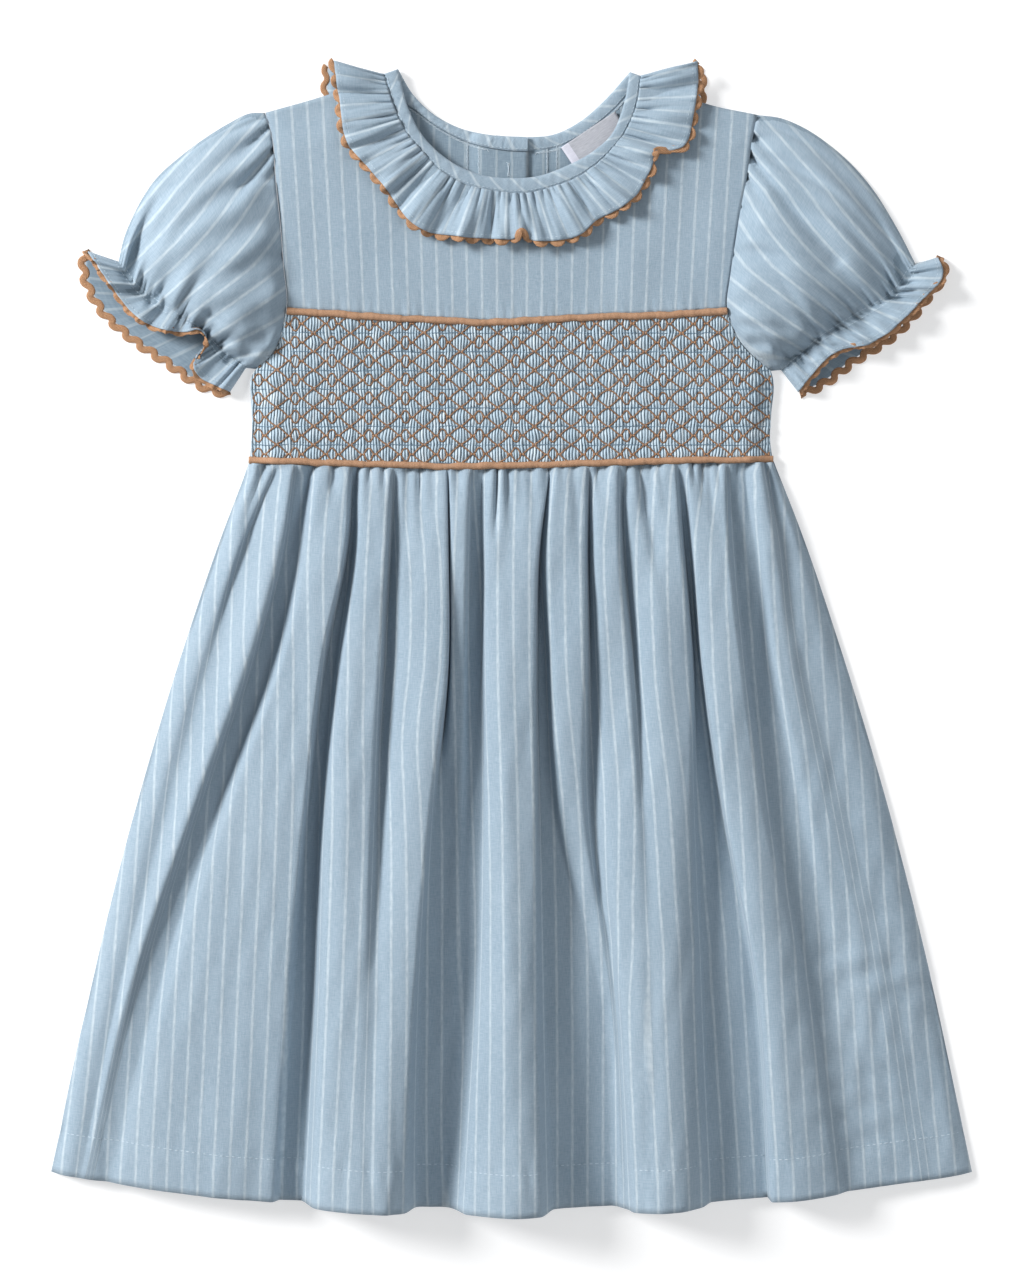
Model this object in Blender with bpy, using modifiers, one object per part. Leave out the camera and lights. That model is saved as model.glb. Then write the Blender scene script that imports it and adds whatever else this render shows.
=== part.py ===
"""A child's smocked dress laid flat on its back, front up. Metres, +Z up, hem toward -Y.

Sizes are in millimetres and become metres where a mesh is made. Each piece that a maker
would cut and sew is an object of its own, left GAP from its neighbours. Every cloth piece
is an open sheet of its lower face, thickened upward by a Solidify modifier.
"""

import math
from collections import namedtuple

import bmesh
import bpy
import numpy as np

MM = 0.001

# Cloth and seams
WALL = 1.2
GAP = 0.35
SEAM = 0.3
SLEEVE_SEAM = 0.4
LEAN_IN = 1 / 1300  # how far raised cloth draws in toward the middle, for each mm it rises
ORIGIN = (-0.3, 2.95)  # the middle of the whole outline, which becomes the world's origin

# Heights of the layers, each for the lower face of its wall
FRONT_LIFT = 6.0
SIDE_LIFT = WALL + 0.3
FRILL_LIFT = WALL + 0.3
OUTER_PLACKET_LIFT = 2.3
INNER_PLACKET_LIFT = OUTER_PLACKET_LIFT + WALL + 0.3
LIFT_RUN = 13.0
FRILL_REACH = 1.85  # where the back frill ends, in shares of the neck's half size
FRILL_REACH_RUN = 0.35

# Back opening
PLACKET_HALF = 8.0
PLACKET_RAMP_START = 14.0
PLACKET_RAMP_END = 26.0
BODICE_ROWS = (0, 0.14, 0.28, 0.42, 0.54, 0.61, 0.66, 0.7, 0.74, 0.8, 1)
BUTTON_RADIUS = 5.5
BUTTON_THICKNESS = 2.0
BUTTON_PLACES = {"button_top": 235.0, "button_middle": 176.0, "button_bottom": 117.0}

# Trims
PIPING_TOP_RADIUS = 1.4
PIPING_BOTTOM_RADIUS = 1.3
RICRAC_THICKNESS = 0.9
RICRAC_GAP = 0.5
RICRAC_WIDTH = 2.8
RICRAC_SWING = 2.6
CUFF_RICRAC_START = 1.3
LABEL_THICKNESS = 0.6
BINDING_THICKNESS = 2.0
BINDING_SEAM = 0.5

# Outlines seen from above, from the neck downward or from the viewer's left to right
ARMHOLE_LEFT = ((-123.0, 262.5), (-120.0, 252.5), (-118.0, 230.5), (-115.5, 206.0), (-114.0, 186.0),
                (-112.5, 166.5), (-114.5, 156.5), (-117.0, 147.5), (-122.0, 140.5), (-128.0, 135.5))
ARMHOLE_RIGHT = ((122.5, 261.5), (120.0, 249.0), (117.5, 231.5), (114.5, 216.5), (111.5, 198.0),
                 (109.0, 181.5), (107.5, 165.5), (110.0, 156.5), (115.5, 147.0), (122.5, 140.0),
                 (129.5, 134.5))
SIDE_LEFT = ((-130.5, 131.0), (-130.5, 121.0), (-130.0, 106.0), (-131.0, 90.0))
SIDE_RIGHT = ((130.5, 130.5), (129.5, 112.0), (129.0, 100.0), (130.5, 89.0))
SHOULDER_LEFT = ((-123.0, 263.5), (-92.0, 272.5), (-64.0, 283.0))
SHOULDER_RIGHT = ((64.5, 282.0), (97.0, 268.0), (122.5, 262.5))
NECK_SEAM = ((-64.0, 283.0), (-59.5, 268.0), (-52.5, 253.5), (-44.5, 244.0), (-34.5, 234.0), (-23.5, 228.0),
             (-8.0, 224.5), (6.0, 223.5), (20.0, 226.5), (34.5, 232.5), (45.5, 241.0), (55.5, 252.5),
             (61.5, 265.0), (64.5, 282.0))
NECK_EDGE = ((-57.0, 285.5), (-52.0, 266.5), (-45.5, 253.5), (-38.5, 245.5), (-27.5, 237.5), (-15.0, 232.5),
             (-1.0, 231.0), (13.0, 232.0), (27.0, 237.0), (40.0, 244.0), (49.5, 252.5), (55.5, 266.5),
             (59.0, 284.0))
BACK_NECK_SEAM = ((-64.0, 283.0), (-58.0, 271.5), (-50.0, 266.0), (-36.0, 256.0), (-22.0, 249.0),
                  (-8.0, 245.5), (8.0, 244.5), (24.5, 247.0), (34.5, 252.0), (46.5, 261.0), (56.5, 271.0),
                  (64.5, 282.0))
BACK_NECK_EDGE = ((-57.0, 285.5), (-50.0, 273.5), (-40.0, 263.5), (-27.5, 256.5), (-10.5, 252.5),
                  (8.0, 251.5), (20.0, 252.5), (34.5, 259.5), (45.5, 269.0), (59.0, 284.0))
FRILL_EDGE = ((-89.0, 289.5), (-86.5, 272.0), (-81.0, 246.5), (-72.5, 237.0), (-64.0, 227.0), (-57.0, 217.0),
              (-51.5, 210.0), (-43.0, 204.5), (-27.5, 202.0), (-8.0, 200.5), (6.0, 200.0), (20.0, 199.5),
              (34.5, 203.0), (42.5, 210.0), (54.0, 216.0), (62.5, 223.0), (68.0, 232.5), (74.0, 242.5),
              (86.0, 247.0), (90.5, 262.0), (93.0, 279.0), (92.5, 289.5))
BACK_FRILL_EDGE_LEFT = ((-91.5, 287.0), (-92.0, 272.0), (-89.0, 260.0), (-80.0, 246.0), (-66.0, 234.0),
                        (-50.0, 226.0), (-31.0, 221.5), (-10.0, 220.5))
BACK_FRILL_EDGE_RIGHT = ((10.0, 220.5), (31.5, 221.5), (51.5, 226.0), (69.0, 235.0), (83.0, 247.5),
                         (91.0, 260.0), (94.0, 272.5), (93.5, 286.0))
PIPING_TOP = ((-112.0, 164.5), (-81.5, 162.5), (-50.0, 160.5), (-8.5, 159.0), (40.5, 161.5), (77.0, 162.5),
              (107.0, 164.5))
PIPING_BOTTOM = ((-131.0, 90.0), (-86.5, 88.5), (-23.0, 87.0), (40.5, 88.5), (95.0, 90.0), (130.0, 90.5))
LABEL_CORNERS = ((25.5, 261.0), (50.0, 266.0), (54.0, 245.0), (29.5, 240.0))

Sleeve = namedtuple("Sleeve", "side armhole fold gather front_edge back_edge")
SLEEVES = (
    Sleeve("left", ARMHOLE_LEFT,
           ((-123.5, 263.5), (-130.0, 263.5), (-142.0, 258.0), (-154.0, 250.5), (-166.0, 241.5),
            (-178.0, 230.5), (-184.0, 222.0), (-190.0, 210.5), (-193.5, 202.0), (-196.5, 189.0)),
           ((-196.5, 189.0), (-187.5, 176.0), (-174.5, 166.5), (-158.5, 157.0), (-142.0, 142.0),
            (-133.0, 136.0)),
           ((-212.0, 194.5), (-207.0, 186.0), (-194.5, 167.5), (-178.5, 156.5), (-157.5, 151.0),
            (-150.0, 137.0), (-141.0, 124.0)),
           ((-212.0, 194.5), (-213.0, 186.0), (-205.0, 166.5), (-190.5, 152.5), (-171.5, 139.5),
            (-152.0, 127.0), (-141.0, 124.0))),
    Sleeve("right", ARMHOLE_RIGHT,
           ((122.5, 262.5), (134.0, 261.0), (146.0, 256.0), (158.0, 248.0), (170.0, 237.5), (182.0, 223.0),
            (188.0, 213.5), (194.0, 203.0), (201.5, 188.0)),
           ((201.5, 188.0), (190.5, 173.0), (172.0, 162.0), (154.0, 151.0), (142.0, 141.0), (134.5, 135.0)),
           ((213.0, 191.5), (215.5, 185.5), (202.5, 167.5), (180.5, 149.0), (160.0, 143.0), (151.0, 134.0),
            (143.0, 124.0)),
           ((213.0, 191.5), (214.5, 184.0), (205.5, 170.0), (190.5, 153.5), (169.0, 139.5), (153.0, 128.0),
            (143.0, 124.0))),
)
PUFF_ROWS = (0.0, 0.12, 0.28, 0.45, 0.62, 0.78, 0.9, 1.0)
PUFF_RISE = (0.0, 6.0, 10.0, 12.0, 11.0, 8.0, 4.0, 0.0)
CUFF_ROWS = (0.33, 0.66, 1.0)
GATHER_LIFT = 8.0
CUFF_LIFT = 11.0
RING_HALF = 12
PLEAT_DEPTH = 1.3
CUFF_WAVE = 1.4

# Front skirt folds: one row a fold line, its values at FOLD_LEVELS from waist to hem.
# across is its place, trough its height, crest how far the cloth rises between it and the next line.
FOLD_LEVELS = (0.0, 0.105, 0.255, 0.465, 0.715, 1.0)
Fold = namedtuple("Fold", "across trough crest columns")
FOLDS = (
    Fold((-131, -145, -163, -185.5, -208, -230), (1.5, 1.5, 1.5, 1.5, 1.5, 1.5),
         (3.0, 5.0, 3.5, 2.5, 2.0, 2.0), 2),
    Fold((-121, -135.5, -152.5, -176, -195, -213.5), (4.0, 4.6, 4.5, 4.0, 3.5, 3.0),
         (2.0, 7.0, 7.0, 5.0, 3.0, 2.5), 4),
    Fold((-106.5, -113.5, -128, -151, -177, -200), (6.0, 6.6, 6.6, 6.6, 4.5, 4.0),
         (2.0, 8.0, 12.0, 12.0, 8.0, 4.0), 8),
    Fold((-81.5, -84.5, -92.5, -102.5, -108.5, -107.5), (6.0, 6.6, 6.6, 6.6, 6.6, 6.6),
         (2.0, 7.0, 8.0, 7.0, 6.0, 6.0), 4),
    Fold((-65, -65, -66.5, -71, -73, -72.5), (6.0, 11.0, 15.0, 19.0, 23.0, 27.0),
         (2.0, 7.0, 8.0, 7.0, 6.0, 6.0), 10),
    Fold((-32.5, -31.5, -32.5, -40, -46.5, -42.5), (6.0, 6.6, 6.6, 6.6, 6.6, 6.6),
         (2.0, 6.0, 7.0, 7.0, 6.0, 6.0), 4),
    Fold((-17.5, -19.5, -20.5, -20.5, -19, -10), (6.0, 10.0, 14.0, 18.0, 23.0, 28.0),
         (2.0, 8.0, 10.0, 10.0, 7.0, 6.0), 10),
    Fold((16.5, 12, 10.5, 13, 24, 30.5), (6.0, 6.6, 6.8, 7.5, 8.0, 8.0),
         (2.0, 7.0, 8.0, 8.0, 7.0, 6.0), 6),
    Fold((35.5, 37.5, 40, 45, 51.5, 55), (6.0, 9.0, 14.0, 18.0, 22.0, 25.0),
         (2.0, 5.0, 6.0, 5.0, 3.0, 2.0), 4),
    Fold((53, 54.5, 61, 69, 72, 74), (6.0, 9.0, 14.0, 18.5, 23.0, 26.0),
         (2.0, 7.0, 8.0, 8.0, 7.0, 7.0), 10),
    Fold((84, 87.5, 91, 96, 101, 108.5), (6.0, 6.6, 6.6, 6.6, 6.6, 6.6),
         (2.0, 8.0, 10.0, 12.0, 13.0, 14.0), 6),
    Fold((106, 108.5, 115.5, 135, 163, 170), (6.0, 6.6, 8.0, 8.0, 6.6, 6.0),
         (2.0, 6.0, 7.0, 5.0, 3.0, 2.5), 4),
    Fold((122, 130, 141, 162, 186.5, 200), (3.6, 4.4, 4.5, 4.0, 3.5, 3.0),
         (2.0, 5.0, 3.5, 2.5, 2.0, 2.0), 2),
    Fold((130.5, 145, 163, 185.5, 208, 229.5), (1.5, 1.5, 1.5, 1.5, 1.5, 1.5),
         (0, 0, 0, 0, 0, 0), 0),
)
SKIRT_ROWS = (0, 0.02, 0.045, 0.08, 0.125, 0.175, 0.23, 0.3, 0.38, 0.465, 0.56, 0.66, 0.77, 0.885, 1)
CREST_SHARPNESS = 0.75
HEM_MIDDLE = -282.0
HEM_RISE = 16.5
HEM_HALF = 230.0
WAIST_GATHER = 0.9
GATHER_RUN = 0.07

# Back skirt folds, each at a share of the half width, with its height and half width
BackFold = namedtuple("BackFold", "share height spread")
BACK_FOLDS = (BackFold(-0.52, 1.6, 9.0), BackFold(-0.3, 2.0, 11.0), BackFold(-0.06, 1.5, 9.0),
              BackFold(0.24, 2.0, 12.0), BackFold(0.5, 1.7, 10.0))
BACK_COLUMNS = 26
BACK_ROWS = 8
BACK_HEM_SHORT = 1.0

# Smocked panel
SMOCK_PERIODS = 14
SMOCK_ROWS = 16
SMOCK_RELIEF = 1.3
SMOCK_WALL = 1.4
PANEL_FLAT_FROM = 3  # columns in from each side where the plain inside is level

COLOURS = {
    "cloth": (0.36, 0.46, 0.54, 0.9),
    "smocked": (0.40, 0.48, 0.55, 0.9),
    "tan": (0.36, 0.20, 0.12, 0.8),
    "label": (0.42, 0.43, 0.46, 0.7),
    "button": (0.72, 0.70, 0.64, 0.4),
}


def hermite(levels, values, at):
    """Smooth curve through values at levels, read at each place in at."""
    levels = np.asarray(levels, float)
    values = np.asarray(values, float)
    slopes = np.gradient(values, levels)
    at = np.clip(np.asarray(at, float), levels[0], levels[-1])
    low = np.clip(np.searchsorted(levels, at, side="right") - 1, 0, len(levels) - 2)
    step = levels[low + 1] - levels[low]
    t = (at - levels[low]) / step
    start = values[low] * (2 * t**3 - 3 * t**2 + 1) + slopes[low] * step * (t**3 - 2 * t**2 + t)
    end = values[low + 1] * (3 * t**2 - 2 * t**3) + slopes[low + 1] * step * (t**3 - t**2)
    return start + end


def along(points, shares):
    """Points at the given shares of the length of the smooth curve through points."""
    points = np.asarray(points, float)
    lengths = np.concatenate([[0], np.cumsum(np.hypot(*np.diff(points, axis=0).T))])
    shares = np.asarray(shares, float) * lengths[-1]
    return np.stack([hermite(lengths, points[:, 0], shares), hermite(lengths, points[:, 1], shares)], axis=-1)


def sideways(points, distance):
    """A run of points moved distance to the left of its own direction."""
    points = np.asarray(points, float)
    direction = np.gradient(points, axis=0)
    direction /= np.linalg.norm(direction, axis=1, keepdims=True)
    return points + distance * np.stack([-direction[:, 1], direction[:, 0]], axis=-1)


def smooth(t):
    """0 to 1 with level ends."""
    t = np.clip(t, 0, 1)
    return t * t * (3 - 2 * t)


def y_at(points, x):
    """Height up the garment of an outline that runs from the viewer's left to right, at x."""
    points = np.asarray(points, float)
    return hermite(points[:, 0], points[:, 1], x)


def x_at(points, y):
    """Place across of an outline that runs down the garment, at y."""
    points = along(points, np.linspace(1, 0, 80))
    return np.interp(y, points[:, 1], points[:, 0])


def side_left(y):
    return x_at(ARMHOLE_LEFT + SIDE_LEFT, y)


def side_right(y):
    return x_at(ARMHOLE_RIGHT + SIDE_RIGHT, y)


def shoulder_y(x):
    """Height up the garment of the shoulder line, and of its level run behind the neck."""
    return np.where(x < 0, y_at(SHOULDER_LEFT, x), y_at(SHOULDER_RIGHT, x))


def frill_lift(x, y):
    """How far the back lies off the floor where the back frill lies under it."""
    below_neck = np.hypot(x / 64.0, np.minimum(y - 285.0, 0) / 41.0)
    return FRILL_LIFT * (1 - smooth((below_neck - FRILL_REACH) / FRILL_REACH_RUN))


def back_lift(x, y, inner):
    """Lower face of the back bodice. The inner placket strip lies over the outer one."""
    ramp = PLACKET_RAMP_END - PLACKET_RAMP_START
    if inner:
        placket = INNER_PLACKET_LIFT * smooth((x + PLACKET_RAMP_END) / ramp)
    else:
        placket = OUTER_PLACKET_LIFT * smooth((PLACKET_RAMP_END - x) / ramp)
    return np.maximum(placket, frill_lift(x, y))


def front_lift(x, y):
    """Lower face of the front bodice, level in the middle and coming down to the back at its edges."""
    edge = np.interp(y, (124, 136, 148, 160, 172, 215, 240, 255, 263),
                     (SIDE_LIFT, 2.6, 4.6, 5.6, FRONT_LIFT, FRONT_LIFT, 5.0, 3.2, SIDE_LIFT + 0.3))
    inward = np.minimum(x - side_left(y), side_right(y) - x)
    at_shoulder = frill_lift(x, y) + SIDE_LIFT
    edge = np.maximum(edge, at_shoulder)
    from_side = edge + (FRONT_LIFT - edge) * smooth(inward / LIFT_RUN)
    from_shoulder = at_shoulder + (FRONT_LIFT - at_shoulder) * smooth((shoulder_y(x) - y) / 25.0)
    return np.minimum(from_side, from_shoulder)


def material(name):
    """The Principled material of this colour name, made once."""
    found = bpy.data.materials.get(name)
    if found:
        return found
    red, green, blue, roughness = COLOURS[name]
    made = bpy.data.materials.new(name)
    made.use_nodes = True
    shader = made.node_tree.nodes["Principled BSDF"]
    shader.inputs["Base Color"].default_value = (red, green, blue, 1)
    shader.inputs["Roughness"].default_value = roughness
    shader.inputs["Metallic"].default_value = 0.0
    return made


def add_object(name, points, faces, colour):
    """A mesh object from points in millimetres, drawn in by their height, with its own material."""
    points = np.asarray(points, float).reshape(-1, 3).copy()
    points[:, :2] *= 1 - points[:, 2:] * LEAN_IN
    points[:, :2] -= ORIGIN
    mesh = bpy.data.meshes.new(name)
    mesh.from_pydata((points * MM).tolist(), [], faces)
    mesh.materials.append(material(colour).copy())
    made = bpy.data.objects.new(name, mesh)
    garment.objects.link(made)
    return made


def grid_faces(rows, columns, closed=False):
    """Faces of a grid whose rows run down and whose columns run right, facing up."""
    faces = []
    for row in range(rows - 1):
        for column in range(columns if closed else columns - 1):
            after = (column + 1) % columns
            faces.append((row * columns + column, (row + 1) * columns + column,
                          (row + 1) * columns + after, row * columns + after))
    return faces


def thicken(sheet, thickness, offset):
    """Give an open sheet its wall."""
    wall = sheet.modifiers.new("Wall", "SOLIDIFY")
    wall.thickness = thickness * MM
    wall.offset = offset
    return sheet


def cloth(name, x, y, z, colour="cloth", wall=WALL):
    """A cloth piece from arrays of its lower face, rows down and columns right."""
    points = np.stack([x, y, z], axis=-1)
    return thicken(add_object(name, points, grid_faces(*x.shape), colour), wall, 1)


def loft(name, sections, colour, closed=False):
    """A solid strip through sections, each an array of corners in the same order."""
    sections = np.asarray(sections, float)
    count, corners, _ = sections.shape
    faces = []
    for section in range(count if closed else count - 1):
        after = (section + 1) % count
        for corner in range(corners):
            beside = (corner + 1) % corners
            faces.append((section * corners + corner, section * corners + beside,
                          after * corners + beside, after * corners + corner))
    if not closed:
        faces.append(tuple(range(corners))[::-1])
        faces.append(tuple((count - 1) * corners + corner for corner in range(corners)))
    return face_outward(add_object(name, sections, faces, colour))


def face_outward(made, used=None):
    """Turn a closed mesh's faces outward, and drop the points that no face uses."""
    work = bmesh.new()
    work.from_mesh(made.data)
    if used is not None:
        bmesh.ops.delete(work, geom=[vert for vert in work.verts if vert.index not in used], context="VERTS")
    bmesh.ops.recalc_face_normals(work, faces=work.faces)
    work.to_mesh(made.data)
    work.free()
    return made


def hem_y(x):
    """The hem's shallow arc."""
    return HEM_MIDDLE + HEM_RISE * (x / HEM_HALF) ** 2


def front_skirt():
    """The gathered front skirt, its folds run down from the waist as FOLDS sets out."""
    rows = np.asarray(SKIRT_ROWS, float)
    x_columns = []
    z_columns = []
    for fold, after in zip(FOLDS, FOLDS[1:]):
        here, there = (hermite(FOLD_LEVELS, line.across, rows) for line in (fold, after))
        low, high = (hermite(FOLD_LEVELS, line.trough, rows) for line in (fold, after))
        crest = hermite(FOLD_LEVELS, fold.crest, rows)
        for column in range(fold.columns):
            t = column / fold.columns
            x_columns.append(here + (there - here) * t)
            z_columns.append(low + (high - low) * t + crest * math.sin(math.pi * t) ** CREST_SHARPNESS)
    x_columns.append(hermite(FOLD_LEVELS, FOLDS[-1].across, rows))
    z_columns.append(hermite(FOLD_LEVELS, FOLDS[-1].trough, rows))
    x = np.stack(x_columns, axis=1)
    z = np.stack(z_columns, axis=1)
    gather = WAIST_GATHER * np.exp(-rows / GATHER_RUN)[:, None] * np.where(np.arange(x.shape[1]) % 2, 1, 0)
    z = z + gather
    top = y_at(PIPING_BOTTOM, x[0]) - PIPING_BOTTOM_RADIUS - GAP
    bottom = hem_y(x[-1]) / (1 - z[-1] * LEAN_IN)
    y = top + (bottom - top) * rows[:, None]
    cloth("front_skirt", x, y, z)


def back_skirt():
    """The back skirt, flat on the floor but for a few folds that stand a little off it."""
    rows = np.linspace(0, 1, BACK_ROWS + 1) ** 1.2
    shares = np.linspace(-1, 1, BACK_COLUMNS + 1)
    half = hermite(FOLD_LEVELS, FOLDS[-1].across, rows)[:, None]
    x = half * shares
    z = sum(fold.height * np.exp(-((x - fold.share * half) / fold.spread) ** 2) for fold in BACK_FOLDS)
    z = np.maximum(z * smooth((rows[:, None] + 0.3) * 2) - 0.35, 0)
    top = y_at(PIPING_BOTTOM, x[0]) - 0.5
    bottom = hem_y(x[-1]) + BACK_HEM_SHORT
    y = top + (bottom - top) * rows[:, None]
    cloth("back_skirt", x, y, z)


def smocked_panel():
    """The smocked panel: pleats and honeycomb raised over a plain inside."""
    rows = SMOCK_ROWS + 1
    columns = SMOCK_PERIODS * 4 + 1
    v = np.linspace(0, 1, rows)[:, None]
    u = np.linspace(0, 1, columns)[None, :]
    y = PIPING_TOP[0][1] + (PIPING_BOTTOM[0][1] - PIPING_TOP[0][1]) * v + 0 * u
    for _ in range(4):
        left = side_left(y[:, :1]) + SEAM
        right = side_right(y[:, -1:]) - SEAM
        x = left + (right - left) * u
        top = y_at(PIPING_TOP, x) - PIPING_TOP_RADIUS - GAP
        bottom = y_at(PIPING_BOTTOM, x) + PIPING_BOTTOM_RADIUS + GAP
        y = top + (bottom - top) * v
    under = front_lift(x, y)
    row = np.arange(rows)[:, None]
    column = np.arange(columns)[None, :]
    pinched = row % 2 == 0
    diamond = np.select([column % 4 == 0, column % 4 == 2], [1.0, 0.75], 0.35)
    relief = SMOCK_RELIEF * np.where(pinched, 0.15 + 0.3 * (column % 2), diamond)
    over = under + SMOCK_WALL + relief
    upper = np.stack([x, y, over], axis=-1).reshape(-1, 3)
    lower = np.stack([x, y, under], axis=-1).reshape(-1, 3)
    count = rows * columns
    faces = grid_faces(rows, columns)

    def under_index(a_row, a_column):
        return count + a_row * columns + a_column

    for a_row in range(rows - 1):
        for a_column in (*range(PANEL_FLAT_FROM), *range(columns - 1 - PANEL_FLAT_FROM, columns - 1)):
            faces.append((under_index(a_row, a_column), under_index(a_row, a_column + 1),
                          under_index(a_row + 1, a_column + 1), under_index(a_row + 1, a_column)))
    inner_left = PANEL_FLAT_FROM
    inner_right = columns - 1 - PANEL_FLAT_FROM
    level = [under_index(0, c) for c in range(inner_left, inner_right + 1)]
    level += [under_index(r, inner_right) for r in range(1, rows)]
    level += [under_index(rows - 1, c) for c in range(inner_right - 1, inner_left - 1, -1)]
    level += [under_index(r, inner_left) for r in range(rows - 2, 0, -1)]
    faces.append(tuple(level))
    rim = [c for c in range(columns)]
    rim += [r * columns + columns - 1 for r in range(1, rows)]
    rim += [(rows - 1) * columns + c for c in range(columns - 2, -1, -1)]
    rim += [r * columns for r in range(rows - 2, 0, -1)]
    for here, there in zip(rim, rim[1:] + rim[:1]):
        faces.append((here, there, there + count, here + count))
    panel = add_object("smocked_panel", np.concatenate([upper, lower]), faces, "smocked")
    face_outward(panel, {index for face in faces for index in face})


def front_yoke():
    """The plain yoke over the smocking, from the top piping to the shoulders and the neck seam."""
    shoulder = np.linspace(0, 1, 6)
    neck = np.linspace(0, 1, 23)
    top = np.concatenate([along(SHOULDER_LEFT, shoulder[:-1]), along(NECK_SEAM, neck),
                          along(SHOULDER_RIGHT, shoulder[1:])])
    base_x = np.linspace(PIPING_TOP[0][0], PIPING_TOP[-1][0], len(top))
    base = np.stack([base_x, y_at(PIPING_TOP, base_x) + PIPING_TOP_RADIUS + GAP], axis=-1)
    v = np.linspace(0, 1, 7)[:, None, None]
    points = top + (base - top) * v
    share = np.linspace(0, 1, len(top))
    y = points[..., 1]
    left_off = side_left(y[:, :1]) + SEAM - points[:, :1, 0]
    right_off = side_right(y[:, -1:]) - SEAM - points[:, -1:, 0]
    x = points[..., 0] + left_off * (1 - share) ** 4 + right_off * share**4
    cloth("front_yoke", x, y, front_lift(x, y))


def back_bodice(side):
    """One half of the back. The viewer's left half carries the inner placket strip."""
    inner = side == "left"
    if inner:
        shoulder, end_x = SHOULDER_LEFT, PLACKET_HALF
        placket = (-PLACKET_RAMP_END, -20.0, -PLACKET_RAMP_START, -3.0, PLACKET_HALF)
    else:
        shoulder, end_x = SHOULDER_RIGHT[::-1], -PLACKET_HALF
        placket = (PLACKET_RAMP_END, 20.0, PLACKET_RAMP_START, 3.0, -PLACKET_HALF)
    steps = (0, 0.1, 0.25, 0.42, 0.48, 0.54, 0.64, 0.76, 0.88)
    neck_top = shoulder[-1][0]
    outer_top = shoulder[0][0]
    top_x = [outer_top + (neck_top - outer_top) * t for t in (0, 0.35, 0.7)]
    top_x += [neck_top + (placket[0] - neck_top) * t for t in (0, 0.08, 0.16, 0.32, 0.52, 0.76)]
    top_x = np.array(top_x + list(placket))
    on_neck = np.abs(top_x) <= abs(neck_top) + 0.01
    neck_y = y_at(BACK_NECK_SEAM, np.clip(top_x, -64.0, 64.5))
    top_y = np.where(on_neck, neck_y, shoulder_y(top_x))
    bottom_start = (SIDE_LEFT if inner else SIDE_RIGHT)[-1][0]
    bottom_x = np.array([bottom_start + (placket[0] - bottom_start) * t for t in steps] + list(placket))
    bottom_y = y_at(PIPING_BOTTOM, bottom_x) + GAP
    v = np.asarray(BODICE_ROWS)[:, None]
    y = top_y + (bottom_y - top_y) * v
    x = top_x + (bottom_x - top_x) * v
    outline = side_left(y[:, :1]) + SEAM if inner else side_right(y[:, :1]) - SEAM
    share = np.clip((x - placket[0]) / (x[:, :1] - placket[0]), 0, 1)
    x = x + (outline - x[:, :1]) * share
    z = back_lift(x, y, inner)
    if not inner:
        x, y, z = (values[:, ::-1] for values in (x, y, z))
    cloth(f"back_bodice_{side}", x, y, z)


def neck_frill_front():
    """The gathered frill over the yoke, and the places under its edge for the ric-rac."""
    columns = 73
    shares = np.linspace(0, 1, columns)
    seam = sideways(along(NECK_SEAM, shares), -SEAM)
    edge = along(FRILL_EDGE, shares)
    depth = np.array([0, 0.3, 0.66, 1.0])[:, None]
    x = seam[:, 0] + (edge[:, 0] - seam[:, 0]) * depth
    y = seam[:, 1] + (edge[:, 1] - seam[:, 1]) * depth
    ground = front_lift(x, y) + WALL
    column = np.arange(columns)
    gather = 0.9 * (column % 2) * (1 - depth)
    wave = 1.5 + 1.3 * np.sin(column * 1.15) + 0.9 * np.sin(column * 2.6 + 1)
    puff = 4.2 * np.sin(math.pi * np.clip(depth * 0.85, 0, 1))
    clear = np.interp(depth, (0, 1), (0.3, 1.9))
    z = ground + clear + gather + puff * (0.6 + 0.4 * np.sin(column * 0.9)) + wave * depth**2
    cloth("neck_frill_front", x, y, z)
    return np.stack([x[-2:], y[-2:], z[-2:]], axis=-1)


def ricrac_front(edge_rows):
    """Ric-rac along the underside of the frill's edge, its scallops past the edge."""
    before, edge = edge_rows
    outward = edge[:, :2] - before[:, :2]
    outward /= np.linalg.norm(outward, axis=1, keepdims=True)
    near = -2.0 + RICRAC_SWING * (np.arange(len(edge)) % 2)
    sections = []
    for place, way, start in zip(edge, outward, near):
        high = place[2] - RICRAC_GAP
        low = high - RICRAC_THICKNESS
        inner = place[:2] + way * start
        outer = inner + way * RICRAC_WIDTH
        sections.append([(*inner, low), (*inner, high), (*outer, high), (*outer, low)])
    loft("ricrac_neck_front", sections, "tan")


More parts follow.
